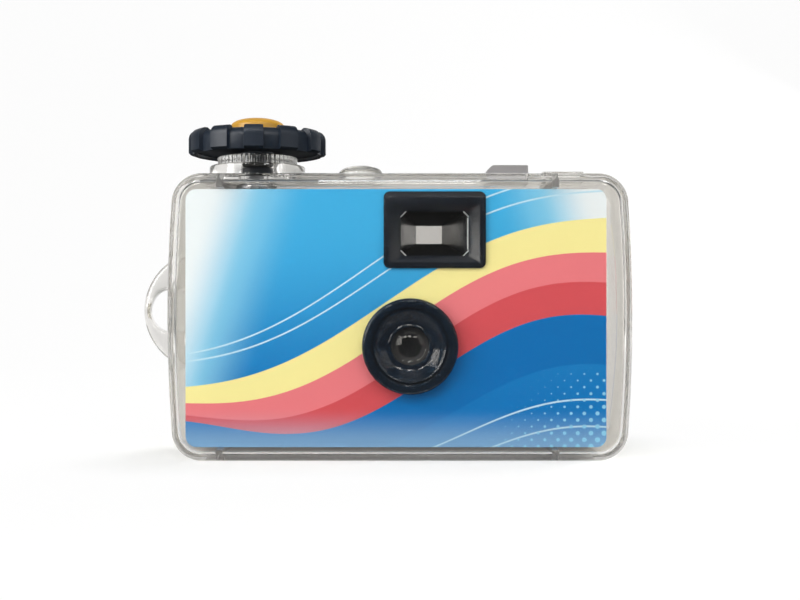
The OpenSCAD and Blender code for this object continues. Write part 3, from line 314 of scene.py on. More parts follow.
printedWrap = printedPaper("coated paper, printed wrap", printLook)
print("printed wrap made")


# A closed mesh from points in millimetres, with outward faces
def makeMesh(name, points, faces):
    mesh = bpy.data.meshes.new(name)
    mesh.from_pydata([Vector(p) * mm for p in points], [], faces)
    work = bmesh.new()
    work.from_mesh(mesh)
    bmesh.ops.remove_doubles(work, verts=work.verts, dist=weld * mm)
    bmesh.ops.recalc_face_normals(work, faces=work.faces)
    work.to_mesh(mesh)
    work.free()
    piece = bpy.data.objects.new(name, mesh)
    scene.collection.objects.link(piece)
    return piece


# rings of equal length, joined in turn; the ends get a face, or meet each other
def ringsMesh(name, rings, closed=False):
    count = len(rings[0])
    points = [p for ring in rings for p in ring]
    faces = []
    for k in range(len(rings) if closed else len(rings) - 1):
        a, b = k * count, (k + 1) % len(rings) * count
        faces += [(a + i, a + (i + 1) % count, b + (i + 1) % count, b + i) for i in range(count)]
    if not closed:
        faces += [tuple(range(count)), tuple(range(len(points) - 1, len(points) - 1 - count, -1))]
    return makeMesh(name, points, faces)


# turned form: closed profile of (radius, height), about Z, or about Y with the height towards the front
def turnedMesh(name, profileAt, angles, centre, aboutY=False):
    rings = []
    for angle in angles:
        c, s = math.cos(angle), math.sin(angle)
        if aboutY:
            rings.append([(centre[0] + r * c, centre[1] - h, centre[2] + r * s) for r, h in profileAt(angle)])
        else:
            rings.append([(centre[0] + r * c, centre[1] + r * s, centre[2] + h) for r, h in profileAt(angle)])
    return ringsMesh(name, rings, closed=True)


def roundAngles(count):
    return [2 * math.pi * i / count for i in range(count)]


def boxMesh(name, low, high, bevel=0.0):
    points = [(x, y, z) for x in (low[0], high[0]) for y in (low[1], high[1]) for z in (low[2], high[2])]
    faces = [(0, 1, 3, 2), (4, 6, 7, 5), (0, 4, 5, 1), (2, 3, 7, 6), (0, 2, 6, 4), (1, 5, 7, 3)]
    piece = makeMesh(name, points, faces)
    return bevelEdges(piece, bevel) if bevel else piece


def bevelEdges(piece, width, segments=3):
    work = bmesh.new()
    work.from_mesh(piece.data)
    limit = math.radians(sharpTurn)
    edges = [e for e in work.edges if len(e.link_faces) == 2 and e.calc_face_angle(0) > limit]
    bmesh.ops.bevel(work, geom=edges, offset=width * mm, segments=segments, profile=0.5, affect="EDGES",
                    clamp_overlap=True)
    work.to_mesh(piece.data)
    work.free()
    return piece


# joins other pieces to this one or cuts them out of it, and uses them up
def combine(piece, others, operation):
    for other in others:
        step = piece.modifiers.new("combine", "BOOLEAN")
        step.object, step.operation, step.solver = other, operation, "EXACT"
    bpy.context.view_layer.update()
    made = bpy.data.meshes.new_from_object(piece.evaluated_get(bpy.context.evaluated_depsgraph_get()))
    piece.modifiers.clear()
    piece.data = made
    for other in others:
        bpy.data.objects.remove(other)
    return piece


# smooth shading with crisp edges, finish, body and the CAD node it stands for
def finishPiece(piece, material, body, slot, *stands, crisp=32):
    mesh = piece.data
    mesh.materials.clear()
    mesh.materials.append(material)
    mesh.shade_smooth()
    mesh.set_sharp_from_angle(angle=math.radians(crisp))
    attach(piece, body)
    if stands:
        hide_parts(*stands)
    return piece


# another finish on the faces that a test picks
def addFinish(piece, material, picks):
    mesh = piece.data
    mesh.materials.append(material)
    for face in mesh.polygons:
        if picks(face.center / mm, face.normal):
            face.material_index = len(mesh.materials) - 1


def arc(centre, radius, start, stop, steps):
    turn = [math.radians(start + (stop - start) * i / steps) for i in range(steps + 1)]
    return [(centre[0] + radius * math.cos(a), centre[1] + radius * math.sin(a)) for a in turn]


# quarter dome from its edge to just below its crown; a power under 1 makes it fuller
def domeArc(radius, low, rise, power, steps):
    turn = [math.radians(90 * i / steps) for i in range(1, steps)]
    return [(radius * math.cos(a) ** power, low + rise * math.sin(a)) for a in turn]


# Clear case: outline seen from the front, with bowed sides and round corners
caseLook = {
    "halfWidth": 56.0, "bow": 1.0, "height": 70.5, "corner": 7.5, "front": -21.0, "rear": 21.0, "wall": 2.0,
    "edge": 3.0, "cavityEdge": 1.0, "parting": 13.47, "rearRim": 14.53, "lipOut": 2.05, "lipIn": 2.8,
    "lipEnd": 10.5, "root": 16.0, "rim": 0.2, "sink": 1.2,
    # flat run beside a corner and beside an edge's rounding, and steps of corner, side, outer and inner edge
    "lead": 0.6, "run": 0.5, "cornerSteps": 14, "sideSteps": 12, "edgeFrom": 10, "edgeSteps": 8, "cavitySteps": 5,
    # corners of the gasket between the two shells, as inset and depth
    "gasket": ((0.4, 13.6), (0.5, 13.5), (1.9, 13.5), (1.95, 13.6), (1.95, 14.4), (1.9, 14.5), (0.5, 14.5),
               (0.4, 14.4)),
}


def caseRing(inset, y, look=caseLook):
    r, lead, sides = look["corner"] - inset, look["lead"], look["sideSteps"]
    cx, low, high = look["halfWidth"] - look["corner"], look["corner"], look["height"] - look["corner"]
    middle, half = look["height"] / 2, look["height"] / 2 - look["corner"]
    outline = []
    for sx, sz, start in ((1, 1, 0), (-1, 1, 90), (-1, -1, 180), (1, -1, 270)):
        corner = arc((sx * cx, high if sz > 0 else low), r, start, start + 90, look["cornerSteps"])
        # flat lead-in before and after each corner keeps the long faces flat in the shading
        first, last = corner[0], corner[-1]
        if start in (0, 180):
            corner = corner + [(last[0] - sx * lead, last[1])]
        else:
            corner = [(first[0] - sx * lead, first[1])] + corner
        outline += corner
        if start in (90, 270):
            end = high if start == 270 else low
            begin = corner[-1][1]
            outline += [(corner[-1][0], begin + (end - begin) * i / sides) for i in range(1, sides)]
    points = []
    for px, pz in outline:
        away = min(1.0, abs(pz - middle) / half)
        points.append((px + math.copysign(look["bow"] * (1 - away ** 2), px), y, pz))
    return points


# one half of the case from its outer face, round the rim and back along the inside;
# way is 1 where the rim lies at +Y and -1 where it lies at -Y
def halfShell(name, face, rim, way, inside, look=caseLook):
    e, w, c, run, q = look["edge"], look["wall"], look["cavityEdge"], look["run"], look["rim"]
    rings = [(e + look["lead"], face), (e, face)]
    rings += [(e - h, face + way * (e - r)) for r, h in arc((0, 0), e, look["edgeFrom"], 90, look["edgeSteps"])]
    rings += [(0, face + way * (e + run)), (0, rim - way * run), (q / 2, rim - way * q / 2), (q, rim), *inside,
              (w, face + way * (w + c + run))]
    rings += [(w + c - h, face + way * (w + c - r)) for r, h in arc((0, 0), c, 90, 0, look["cavitySteps"])]
    rings += [(w + c + look["lead"], face + way * w)]
    return ringsMesh(name, [caseRing(inset, y) for inset, y in rings])


def frontShell(look=caseLook):
    return halfShell("frontShell", look["front"], look["parting"], 1, [(look["wall"], look["parting"])])


# the rear half has a lip that reaches into the front one
def rearShell(look=caseLook):
    out, inner, end, root, q = look["lipOut"], look["lipIn"], look["lipEnd"], look["root"], look["rim"]
    lip = [(out, look["rearRim"]), (out, end + q), (out + q, end), (inner, end), (inner, root),
           (look["wall"], root)]
    return halfShell("rearShell", look["rear"], look["rearRim"], -1, lip)


# Knob seat on the case's top: boss with a flared foot, toothed collar and bore
seatLook = {"x": -37.0, "bossR": 12.35, "bossTop": 74.0, "bossRound": 0.5, "flare": 0.8, "collarR": 10.25,
            "collarTop": 76.3, "collarRound": 0.2, "overlap": 0.3, "inside": 3.0, "teeth": 48, "toothDepth": 0.14,
            "toothSteps": 10, "toothShape": (1.6, -0.3), "boreR": 4.06, "bore": (60, 80), "core": (0.5, 0.6)}


def knobSeat(top, look=seatLook):
    centre, inside, bossTop = (look["x"], 0, 0), look["inside"], look["bossTop"]
    r, flare, q = look["bossR"], look["flare"], look["bossRound"]
    low = top - caseLook["sink"]
    boss = [(inside, low), (r + flare, low)]
    boss += [(r + flare - flare * math.sin(a), top + flare * (1 - math.cos(a)))
             for a in [math.radians(15 * i) for i in range(7)]]
    boss += [(r, bossTop - q), (r - 0.3 * q, bossTop - 0.3 * q), (r - q, bossTop), (inside, bossTop)]
    bossPiece = turnedMesh("boss", lambda a: boss, roundAngles(128), centre)

    def collarAt(angle):
        slope, offset = look["toothShape"]
        cut = 0.5 - 0.5 * math.cos(angle * look["teeth"])
        r = look["collarR"] - look["toothDepth"] * min(1, max(0, cut * slope + offset))
        low, high, q = bossTop - look["overlap"], look["collarTop"], look["collarRound"]
        return [(inside, low), (r, low), (r, high - q), (r - q, high), (inside, high)]

    collar = turnedMesh("collar", collarAt, roundAngles(look["teeth"] * look["toothSteps"]), centre)
    (start, end), (hole, core) = look["bore"], look["core"]
    # the bore is cut as a ring and its core
    cuts = []
    for name, r0, r1, count in (("bore", hole, look["boreR"], 96), ("core", 0.0, core, 24)):
        tube = [(r0, start), (r1, start), (r1, end), (r0, end)]
        cuts.append(turnedMesh(name, lambda a: tube, roundAngles(count), centre))
    return [bossPiece, collar], cuts


# Magnifier over the frame counter, pry block and thumb pad, all part of the front shell
topLook = {
    "domeAt": (-10.0, -4.0), "domeR": 5.8, "domeEdge": 1.2, "domeRise": 2.1, "domeFrom": 0.3, "domePower": 0.8,
    "domeSteps": 12, "blockX": (21.7, 32.3), "blockY": (-10.0, 2.0), "blockHeight": 2.9, "blockCut": 1.6,
    "blockRound": 0.35, "padX": (35.0, 45.0), "padY": (-18.0, -7.0), "padHeight": 0.4, "padRound": 0.3,
}


def topDetails(top, look=topLook):
    r, foot, crown = look["domeR"], top - caseLook["sink"], top + look["domeEdge"] + look["domeRise"]
    low = top + look["domeEdge"] - look["domeFrom"]
    dome = [(0.0, foot), (r, foot), (r, low)]
    dome += domeArc(r, low, look["domeRise"] + look["domeFrom"], look["domePower"], look["domeSteps"])
    dome += [(0.0, crown)]
    domePiece = turnedMesh("dome", lambda a: dome, roundAngles(96), (*look["domeAt"], 0))
    (x0, x1), cut, high = look["blockX"], look["blockCut"], top + look["blockHeight"]
    outline = [(x0, foot), (x1, foot), (x1, high), (x0 + cut, high), (x0, high - cut)]
    block = ringsMesh("block", [[(x, y, z) for x, z in outline] for y in look["blockY"]])
    bevelEdges(block, look["blockRound"])
    (x0, x1), (y0, y1) = look["padX"], look["padY"]
    pad = boxMesh("pad", (x0, y0, foot), (x1, y1, top + look["padHeight"]), look["padRound"])
    return [domePiece, block, pad]


# Strap lug on the left: rounded disc with a round eye, cut off inside the case wall
lugLook = {"centre": (-50.8, 36.6), "radius": 15.5, "half": 2.0, "round": 1.4, "eyeX": -59.2, "eyeR": 5.5,
           "eyeRound": 0.9, "eyeOver": 1, "cut": ((-56.0, -10, 0), (0, 10, 80))}


def strapLug(look=lugLook):
    r, t, q = look["radius"], look["half"], look["round"]
    rim = [(0.0, -t)] + [(r - q + b, -t + q + a) for b, a in arc((0, 0), q, -90, 0, 6)]
    rim += [(r - q + b, t - q + a) for b, a in arc((0, 0), q, 0, 90, 6)] + [(0.0, t)]
    disc = turnedMesh("lug", lambda a: rim, roundAngles(160), (look["centre"][0], 0, look["centre"][1]), True)
    e, q, end = look["eyeR"], look["eyeRound"], t + look["eyeOver"]
    eye = [(0.0, -end), (e + q, -end)] + [(e + q - b, -t + q - a) for b, a in arc((0, 0), q, 90, 0, 5)]
    eye += [(e + q - b, t - q - a) for b, a in arc((0, 0), q, 0, -90, 5)] + [(e + q, end), (0.0, end)]
    cutter = turnedMesh("eye", lambda a: eye, roundAngles(96), (look["eyeX"], 0, look["centre"][1]), True)
    return combine(disc, [cutter, boxMesh("inner", *look["cut"])], "DIFFERENCE")


# ribs inside both halves: places along the case, thickness, depth and heights
ribLook = {"at": (-44.1, 38.0), "half": 0.85, "round": 0.2, "front": (-19.5, 8.5, ((66.9, 69.5), (1.0, 2.9))),
           "rear": (15.6, 20.0, ((7.5, 63.0),)), "shown": ((66.8, 68.45), (2.05, 3.0))}


def caseRibs(name, y0, y1, heights, look=ribLook):
    return [boxMesh(name, (x - look["half"], y0, z0), (x + look["half"], y1, z1), look["round"])
            for x in look["at"] for z0, z1 in heights]


# ribs, pry block and underside get the rough finish of an unpolished part of the tool and a grey tone that is
# painted shade; the small numbers are play
def isDullShaded(at, normal):
    onRib = (min(abs(at.x - x) for x in ribLook["at"]) < ribLook["half"] + 0.01
             and any(low < at.z < high for low, high in ribLook["shown"]))
    x0, x1 = topLook["blockX"]
    return onRib or at.z < 0.02 or (at.z > caseLook["height"] + 0.05 and x0 - 0.1 < at.x < x1 + 0.1)


def isCollar(at, normal):
    past = math.hypot(at.x - seatLook["x"], at.y) - seatLook["collarR"]
    return at.z > seatLook["bossTop"] + 0.02 and -1 < past < 0.1


shell = frontShell()
seatParts, seatCuts = knobSeat(caseLook["height"])
frontRibs = caseRibs("rib", *ribLook["front"])
combine(shell, seatParts + topDetails(caseLook["height"]) + [strapLug()] + frontRibs, "UNION")
combine(shell, seatCuts, "DIFFERENCE")
finishPiece(shell, clearPolystyrene, "case", "clear_polystyrene", "front_case")
# painted grey shade on the ribs, pry block and underside
addFinish(shell, dullShadedPolystyrene, isDullShaded)
# painted grey shade on the collar's teeth
addFinish(shell, toothedShadedPolystyrene, isCollar)
cover = combine(rearShell(), caseRibs("rearRib", *ribLook["rear"]), "UNION")
finishPiece(cover, clearPolystyrene, "case", "clear_polystyrene", "rear_case")
# the rear half gets the same painted grey shade on the faces that the test picks
addFinish(cover, dullShadedPolystyrene, isDullShaded)
gasket = ringsMesh("gasketStrip", [caseRing(inset, y) for inset, y in caseLook["gasket"]], closed=True)
finishPiece(gasket, silicone, "case", "gasket_rubber", "case_gasket")
print("clear case made:", len(shell.data.polygons), len(cover.data.polygons))


# Winding knob: the outline swells into a tab at each grip
knobLook = {
    "x": -37.0, "grips": 12, "turn": 3.3, "tabHalf": 8.2, "step": 0.3, "boreR": 1.76, "hubR": 4.0, "hubEnd": 66.0,
    "clipGroove": (67.75, 68.45, 3.2), "sealGroove": (72.6, 74.2, 2.62), "web": 77.7, "dishR": 15.9, "low": 76.7,
    "recess": (16.7, 82.3), "tab": (17.7, 82.9), "shoulder": (1.9, 2.2), "lipR": 9.0, "dish": 0.8, "wellR": 7.1,
    "well": 79.0, "earSlot": (8.1, 1.1), "slotHigh": 8,
    # degrees from a tab's middle of the outline's points on the recess and on the tab
    "recessAt": (12.6, 10.4), "tabAt": (5.4, 2.7), "underside": -0.6,
}


def knobProfile(swell, look=knobLook):
    hub, bore = look["hubR"], look["boreR"]
    profile = [(bore + 0.15, look["hubEnd"]), (hub - 0.25, look["hubEnd"]), (hub, look["hubEnd"] + 0.25)]
    for low, high, r in (look["clipGroove"], look["sealGroove"]):
        profile += [(hub, low), (r, low), (r, high), (hub, high)]
    web, dishR, low = look["web"], look["dishR"], look["low"]
    profile += [(hub, web - 0.4), (hub + 0.1, web - 0.1), (hub + 0.4, web), (dishR - 0.4, web),
                (dishR - 0.1, web - 0.1), (dishR, web - 0.4), (dishR, low + 0.15), (dishR + 0.15, low)]

    def blend(a, b):
        return tuple(p + (q - p) * swell for p, q in zip(a, b))

    (r0, z0), (r1, z1), (sr, sz) = look["recess"], look["tab"], look["shoulder"]
    profile += [blend((r0 - 0.35, low), (r0 - 0.2, low + 0.05)),
                blend((r0 - 0.1, low + 0.1), (r1 - 0.35, low + 0.3)),
                blend((r0, low + 0.35), (r1, low + 0.65)), blend((r0, z0 - sz - 0.3), (r1, z1 - sz - 0.3))]
    for r, h in arc((0, 0), 1, 0, 90, 8):
        profile.append(blend((r0 - sr + sr * r, z0 - sz + sz * h), (r1 - sr + sr * r, z1 - sz + sz * h)))
    dish, lip, wellR, well = z0 - look["dish"], look["lipR"], look["wellR"], look["well"]
    profile += [blend((r0 - 2.2, z0), (r1 - 2.4, z1)), blend((r0 - 2.3, z0), (r1 - 2.6, z1 - 0.08)),
                blend((r0 - 2.4, z0), (r1 - 2.7, z0 + 0.1)), (r0 - 2.6, z0), (r0 - 3.3, dish + 0.1),
                (r0 - 3.6, dish), (lip + 0.2, dish), (lip, dish + 0.2), (lip, z0 - 0.15), (lip - 0.15, z0),
                (wellR + 0.15, z0), (wellR, z0 - 0.15), (wellR, well), (bore, well), (bore, look["hubEnd"] + 0.15)]
    return profile


def windingKnob(look=knobLook):
    spacing = 360 / look["grips"]
    half, step = look["tabHalf"], look["step"]
    side = [(a, 0) for a in look["recessAt"]]
    side += [(half + step, 0), (half + step * 0.7, 0.08), (half - step * 0.7, 0.92), (half - step, 1)]
    side += [(a, 1) for a in look["tabAt"]]
    across = [(-spacing / 2, 0)] + [(-a, s) for a, s in side] + [(0, 1)] + side[::-1]
    swell = {math.radians(look["turn"] - 90 + g * spacing + a): s for g in range(look["grips"]) for a, s in across}
    knob = turnedMesh("windingKnob", lambda a: knobProfile(swell[a]), list(swell), (look["x"], 0, 0))
    reach, halfWide = look["earSlot"]
    slots = [boxMesh("slot", (look["x"] + min(0, s * reach), -halfWide, look["well"]),
                     (look["x"] + max(0, s * reach), halfWide, look["well"] + look["slotHigh"])) for s in (-1, 1)]
    return combine(knob, slots, "DIFFERENCE")


knob = finishPiece(windingKnob(), blackAbs, "knob", "black_abs", "winding_knob", crisp=40)
# painted shade: the darker tone on the knob's underside
addFinish(knob, coarseShadedAbs, lambda at, normal: normal.z < knobLook["underside"])

# Shutter button: domed cap with two guide ears and a pocket for its spring
buttonLook = {"x": -37.0, "r": 6.9, "low": 82.0, "edge": 84.7, "top": 86.5, "rodR": 1.75, "rodTop": 85.6,
              "bossR": 2.4, "bossLow": 82.6, "pocketR": 4.2, "pocketTop": 85.0, "earRoot": 5.5, "earReach": 7.9,
              "earHalf": 1.0, "earHigh": 1.2, "earRound": 0.15, "domeFrom": 0.3, "domePower": 0.85, "domeSteps": 16}


def shutterButton(look=buttonLook):
    r, low, edge = look["r"], look["low"], look["edge"] - look["domeFrom"]
    profile = [(0.0, look["rodTop"]), (look["rodR"], look["rodTop"]), (look["rodR"], look["bossLow"]),
               (look["bossR"], look["bossLow"]), (look["bossR"], look["pocketTop"]),
               (look["pocketR"], look["pocketTop"]), (look["pocketR"], low), (r - 0.2, low), (r, low + 0.2),
               (r, edge)]
    profile += domeArc(r, edge, look["top"] - edge, look["domePower"], look["domeSteps"])
    profile += [(0.0, look["top"])]
    button = turnedMesh("shutterButton", lambda a: profile, roundAngles(128), (look["x"], 0, 0))
    ears = []
    for s in (-1, 1):
        x0, x1 = sorted((look["x"] + s * look["earRoot"], look["x"] + s * look["earReach"]))
        ears.append(boxMesh("ear", (x0, -look["earHalf"], low + 0.01),
                            (x1, look["earHalf"], low + look["earHigh"]), look["earRound"]))
    return combine(button, ears, "UNION")


finishPiece(shutterButton(), orangeAbs, "button", "orange_abs", "shutter_button")

# Button spring: it stands in the knob's well under the button, drawn at one length up to the button's pocket
springLook = {"x": -37.0, "r": 2.95, "wire": 0.5, "turns": 5, "steps": 24, "round": 10, "gap": 0.02, "travel": 2.5}


def buttonSpring(low, high, look=springLook):
    thick, count = look["wire"] / 2, look["turns"] * look["steps"]
    first, last = low + thick + look["gap"], high - thick - look["gap"]
    rings = []
    for i in range(count + 1):
        c, s = math.cos(2 * math.pi * i / look["steps"]), math.sin(2 * math.pi * i / look["steps"])
        z = first + (last - first) * i / count
        rings.append([(look["x"] + (look["r"] + thick * math.cos(a)) * c, (look["r"] + thick * math.cos(a)) * s,
                       z + thick * math.sin(a)) for a in roundAngles(look["round"])])
    return ringsMesh("buttonSpring", rings)


well, pocket = knobLook["well"], buttonLook["pocketTop"]
spring = finishPiece(buttonSpring(well, pocket), springSteel, "knob", "spring_steel", "button_spring")
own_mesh(spring)
print("knob, button and spring made")

# Lens ring: rounded rim, sloped band, groove, cone and a small lip round the glass; heights are over the wrap
lensLook = {"at": (2.5, -15.0, 28.0), "ringR": 11.85, "out": 3.3, "barrelR": 10.35, "barrelBack": -2.6,
            "clearR": 4.7, "lensR": 5.2, "seat": -0.6, "bulge": 1.9, "rim": 0.8, "coneSag": 0.22, "coneSteps": 5,
            "play": 0.05, "lensSteps": 12}


def lensRing(look=lensLook):
    r, h, c, seat = look["ringR"], look["out"], look["clearR"], look["lensR"] + look["play"]
    profile = [(seat, look["barrelBack"]), (look["barrelR"], look["barrelBack"]), (look["barrelR"], 0.0),
               (r - 0.1, 0.0), (r, 0.1), (r, h - 1.0)]
    profile += [(r - 0.9 + 0.9 * a, h - 1.0 + b) for a, b in arc((0, 0), 1, 10, 90, 8)]
    profile += [(r - 1.4, h - 0.02), (r - 2.1, h - 0.2), (r - 2.25, h - 0.26), (r - 2.35, h - 0.4),
                (r - 2.4, h - 1.4), (r - 2.72, h - 1.4), (r - 2.75, h - 0.8), (r - 2.8, h - 0.62),
                (r - 2.92, h - 0.5), (r - 3.08, h - 0.46), (r - 3.22, h - 0.52)]
    (r0, h0), (r1, h1) = profile[-1], (c + 1.0, 0.62)
    for i in range(1, look["coneSteps"] + 1):
        t = i / look["coneSteps"]
        profile.append((r0 + (r1 - r0) * t, h0 + (h1 - h0) * t - look["coneSag"] * math.sin(math.pi * t)))
    profile += [(c + 0.85, 0.6), (c + 0.75, 0.72), (c + 0.55, 0.8), (c + 0.25, 0.74), (c + 0.05, 0.55), (c, 0.3),
                (c, look["seat"]), (seat, look["seat"])]
    return turnedMesh("lensRing", lambda a: profile, roundAngles(160), look["at"], True)


def takingLens(look=lensLook):
    edge, bulge, seat, steps = look["clearR"] - look["play"], look["bulge"], look["seat"], look["lensSteps"]
    radius = (look["clearR"] ** 2 + bulge ** 2) / (2 * bulge)
    profile = [(0.0, seat - look["rim"]), (look["lensR"], seat - look["rim"]), (look["lensR"], seat - 0.02),
               (edge, seat - 0.02)]
    for i in range(1, steps + 1):
        r = edge * (1 - i / steps)
        profile.append((r, seat + bulge - radius + math.sqrt(radius ** 2 - r ** 2)))
    return turnedMesh("takingLens", lambda a: profile, roundAngles(128), look["at"], True)


finishPiece(lensRing(), ringPolystyrene, "case", "lens_ring_black", "lens_ring", crisp=24)
finishPiece(takingLens(), acrylic, "case", "lens_acrylic", "taking_lens")


# Moulded pieces with flat faces: the node's own shape with its sharp edges rounded
def softenedNode(name, node, width, flat=0.5):
    mesh = nodes[node].data.copy()
    piece = bpy.data.objects.new(name, mesh)
    scene.collection.objects.link(piece)
    work = bmesh.new()
    work.from_mesh(mesh)
    bmesh.ops.remove_doubles(work, verts=work.verts, dist=weld * mm)
    bmesh.ops.dissolve_limit(work, angle_limit=math.radians(flat), verts=work.verts, edges=work.edges)
    work.to_mesh(mesh)
    work.free()
    return bevelEdges(piece, width, 2)


# the tunnel is what lies behind this depth and faces up or down by more than this share
finderLook = {"round": 0.18, "tunnelFrom": -13.5, "lean": 0.7}
finder = softenedNode("finderFrame", "viewfinder_frame", finderLook["round"])
finishPiece(finder, finderPolystyrene, "case", "finder_black", "viewfinder_frame")
addFinish(finder, tunnelPolystyrene,
          lambda at, normal: abs(normal.z) > finderLook["lean"] and at.y > finderLook["tunnelFrom"])

# Front window of the finder: pale strips on its cut corners and right side are painted glints and show as thin
# lines
windowLook = {"at": (8.6, 55.85), "half": (8.35, 5.85), "cut": 1.95, "over": 0.5, "front": -13.97, "line": 0.22,
              "thick": 0.12, "sideLine": 0.3}


def windowGlintLines(look=windowLook):
    (cx, cz), (w, h), c, y = look["at"], look["half"], look["cut"], look["front"]
    out = w + look["over"]
    points, faces = [], []
    runs = [((sx * (out - c), sz * h), (sx * out, sz * (h - c)), look["line"]) for sx in (-1, 1) for sz in (-1, 1)]
    runs.append(((w, h - c), (w, c - h), look["sideLine"]))
    for start, end, wide in runs:
        along = Vector((end[0] - start[0], 0, end[1] - start[1])).normalized()
        inward = Vector((-along.z, 0, along.x))
        if inward.x * start[0] + inward.z * start[1] > 0:
            inward = -inward
        base = len(points)
        for px, pz in (start, end):
            foot = Vector((cx + px, y, cz + pz))
            points += [foot, foot + inward * wide, foot + Vector((0, -look["thick"], 0))]
        wedge = ((0, 1, 2), (3, 5, 4), (0, 3, 4, 1), (1, 4, 5, 2), (2, 5, 3, 0))
        faces += [tuple(base + i for i in face) for face in wedge]
    return makeMesh("windowGlintLines", points, faces)


# the pale strips are painted glints on the window's edges
finishPiece(windowGlintLines(), paintedGlintAcrylic, "case", "lens_acrylic")
print("lens and viewfinder made")

# finishes of the pieces that keep the solid as it is
nodeFinish = {
    printedWrap: ["front_label", "back_label"],
    acrylic: ["viewfinder_lens", "viewfinder_eyepiece"],
    nitrile: ["spindle_seal", "rod_seal"],
    springSteel: ["retaining_clip", "shutter_rod", "lever_pin"],
    blackPolystyrene: ["front_cover", "back_cover", "lens_retainer", "camera_body", "mechanism_deck",
                       "shutter_plate", "cartridge_spool"],
    blackSteel: ["shutter_blade"],
    greyAcetal: ["cocking_lever", "release_lever", "advance_wheel"],
    whiteAcetal: ["sprocket", "counter_dial", "supply_spool"],
    tinplate: ["cartridge_shell", "cartridge_caps"],
    acetate: ["film_strip", "film_roll"],
}
for material, names in nodeFinish.items():
    for name in names:
        for place in nodes[name].material_slots:
            place.material = material
print("finishes given to the inside")

# Studio: pale floor that curves up into a backdrop, soft lamps and the photograph's view;
# lengths are in metres, apart from the card's patches
studioLook = {"floor": "#F2F2F0", "floorShade": "#EEEEEC", "patch": 30, "half": 2.0, "near": -1.6, "far": 0.9,
              "curve": 0.5, "curveFrom": -85, "curveSteps": 12, "high": 2.2, "drop": 0.00002, "seen": 0.94,
              "world": "#D6D8DA", "worldStrength": 0.25, "mirrorStrength": 0.07, "seenWorld": 0.96,
              "foot": (0.056, 0.02, 0.01), "fade": 0.03, "under": 0.25, "mirrorFrom": -0.025, "mirrorFade": 0.02,
              # how far a ray leans up where the ceiling begins and ends to darken, and what is left
              "ceiling": (0.06, 0.4, 0.1),
              # how far a mirrored ray points back where the white world begins and ends to hide
              "ahead": (0.25, -0.3),
              # middle of the backdrop's bright part; where round it the light begins and ends to fall; loss
              "bright": (0.14, 0, 0.03), "behind": (0.18, 0.5, 0.85)}


def studioFloor(look=studioLook):
    curve, far = look["curve"], look["far"]
    line = [(look["near"], 0.0), (far - curve, 0.0)]
    line += [(far + r, curve + h) for r, h in arc((-curve, 0), curve, look["curveFrom"], 0, look["curveSteps"])]
    line += [(far, look["high"])]
    points = [(sx * look["half"] / mm, y / mm, (z - look["drop"]) / mm) for y, z in line for sx in (-1, 1)]
    faces = [(2 * i, 2 * i + 1, 2 * i + 3, 2 * i + 2) for i in range(len(line) - 1)]
    floor = makeMesh("studioFloor", points, faces)
    floor.data.shade_smooth()
    material = bpy.data.materials.new("matte white card")
    material.use_nodes = True
    tree = material.node_tree
    tree.nodes.clear()
    place = addNode(tree, "ShaderNodeTexCoord").outputs["Object"]
    patch = noise(tree, place, look["patch"])
    tone = mixedColour(tree, patch, hexColour(look["floor"]), hexColour(look["floorShade"]))
    card = addNode(tree, "ShaderNodeBsdfDiffuse", {0: tone}).outputs[0]
    glow = addNode(tree, "ShaderNodeEmission", {"Strength": 1.0}).outputs[0]
    path = addNode(tree, "ShaderNodeLightPath").outputs
    bent = calc(tree, "ADD", path["Is Glossy Ray"], path["Is Transmission Ray"], clamp=True)
    seen = calc(tree, "ADD", path["Is Camera Ray"], bent, clamp=True)
    # contact shadow: less glow under the part and close round it
    off = calcVector(tree, "SUBTRACT", calcVector(tree, "ABSOLUTE", place), look["foot"])
    off = calcVector(tree, "LENGTH", calcVector(tree, "MAXIMUM", off, (0, 0, 0)))
    glowPart = mapped(tree, off, 0.0, look["fade"], look["under"], look["seen"])
    # through the clear walls the backdrop is bright only right behind the part, which draws their edges
    aside = calcVector(tree, "MULTIPLY", calcVector(tree, "SUBTRACT", place, look["bright"]), (1, 0, 1))
    near, far, loss = look["behind"]
    dark = mapped(tree, calcVector(tree, "LENGTH", aside), near, far, 0.0, loss)
    bright = calc(tree, "SUBTRACT", 1.0, calc(tree, "MULTIPLY", dark, bent))
    share = calc(tree, "MULTIPLY", seen, calc(tree, "MULTIPLY", glowPart, bright))
    lit = addNode(tree, "ShaderNodeMixShader", {0: share, 1: card, 2: glow}).outputs[0]
    # the floor in front gives no mirror image in the flat clear face
    y = addNode(tree, "ShaderNodeSeparateXYZ", {0: place}).outputs["Y"]
    front = mapped(tree, y, look["mirrorFrom"], look["mirrorFrom"] - look["mirrorFade"], soft=False)
    mirrored = calc(tree, "MULTIPLY", bent, path["Glossy Depth"], clamp=True)
    hide = calc(tree, "MULTIPLY", front, mirrored)
    gone = addNode(tree, "ShaderNodeBsdfTransparent").outputs[0]
    shown = addNode(tree, "ShaderNodeMixShader", {0: hide, 1: lit, 2: gone}).outputs[0]
    addNode(tree, "ShaderNodeOutputMaterial", {0: shown})
    floor.data.materials.append(material)


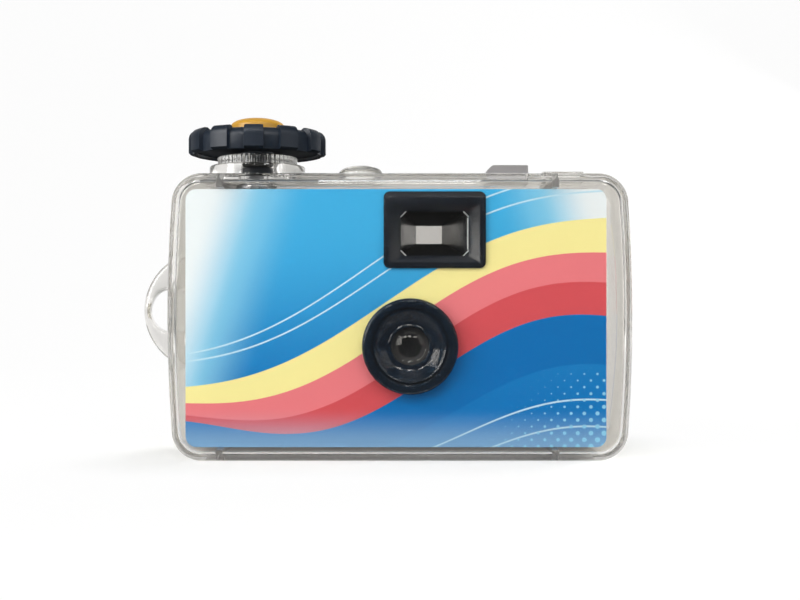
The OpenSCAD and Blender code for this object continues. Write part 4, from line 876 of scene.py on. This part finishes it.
def studioWorld(look=studioLook):
    world = bpy.data.worlds.new("soft studio")
    world.use_nodes = True
    scene.world = world
    tree = world.node_tree
    tree.nodes.clear()
    path = addNode(tree, "ShaderNodeLightPath").outputs
    # mirrored in the dark pieces the room is darker still
    ambient = mapped(tree, path["Glossy Depth"], 0, 1, look["worldStrength"], look["mirrorStrength"], soft=False)
    dim, white = [addNode(tree, "ShaderNodeBackground", {"Color": colour, "Strength": strength}).outputs[0]
                  for colour, strength in ((hexColour(look["world"]), ambient),
                                           ((1, 1, 1, 1), look["seenWorld"]))]
    place = addNode(tree, "ShaderNodeTexCoord").outputs["Generated"]
    heading = addNode(tree, "ShaderNodeSeparateXYZ", {0: place}).outputs
    # white on every side for what passes through or runs along the walls, but one mirroring sees no white in front
    once = calc(tree, "COMPARE", path["Glossy Depth"], 1.0, 0.5)
    hidden = calc(tree, "MULTIPLY", mapped(tree, heading["Y"], *look["ahead"]), once)
    clear = calc(tree, "SUBTRACT", 1.0, hidden)
    # the studio's ceiling is darker, which draws the clear edges on top
    start, end, low = look["ceiling"]
    lit = calc(tree, "MULTIPLY", clear, mapped(tree, heading["Z"], end, start, low, 1.0))
    through = calc(tree, "MULTIPLY", lit, path["Is Transmission Ray"])
    seen = calc(tree, "ADD", path["Is Camera Ray"], through, clamp=True)
    both = addNode(tree, "ShaderNodeMixShader", {0: seen, 1: dim, 2: white}).outputs[0]
    addNode(tree, "ShaderNodeOutputWorld", {0: both})


studioFloor()
studioWorld()

# soft boxes: place, size and power in watts, all turned towards the middle of the case
lampTarget = Vector((0, 0, 0.035))
lampLook = {
    "keyLeft": ((-0.6, -0.42, 0.3), 0.5, 4.8),
    "fillRight": ((0.6, -0.36, 0.34), 0.5, 1.0),
    "overhead": ((0.0, -0.2, 0.74), 0.6, 0.7),
    "panelLeft": ((-0.22, -0.46, 0.42), 0.12, 0.55),
    "panelMiddle": ((0.0, -0.5, 0.44), 0.12, 0.55),
    "panelRight": ((0.22, -0.46, 0.42), 0.12, 0.55),
    "backFill": ((0.55, 0.6, 0.36), 0.5, 8.5),
}
for name, (place, size, power) in lampLook.items():
    lamp = bpy.data.lights.new(name, "AREA")
    lamp.size, lamp.energy = size, power
    holder = bpy.data.objects.new(name, lamp)
    holder.location = place
    holder.rotation_euler = (lampTarget - Vector(place)).to_track_quat("-Z", "Y").to_euler()
    # a lamp behind the part makes no glare and no mirror image in the clear walls
    holder.visible_transmission = holder.visible_glossy = place[1] < 0
    scene.collection.objects.link(holder)

# the photograph's view: place in millimetres, lens and sensor
viewLook = {"place": (0, -315, 39.4), "lens": 54.5, "sensor": 36.0}
eyeData = bpy.data.cameras.new("photoView")
eyeData.lens, eyeData.sensor_width = viewLook["lens"], viewLook["sensor"]
eye = bpy.data.objects.new("photoView", eyeData)
eye.location = Vector(viewLook["place"]) * mm
eye.rotation_euler = (math.radians(90), 0, 0)
scene.collection.objects.link(eye)
scene.camera = eye
scene.view_settings.view_transform = "Standard"
# light runs along inside the clear walls, so it needs more bounces than usual
scene.cycles.max_bounces = 32
scene.cycles.glossy_bounces = 24
scene.cycles.transmission_bounces = 24
print("studio ready")
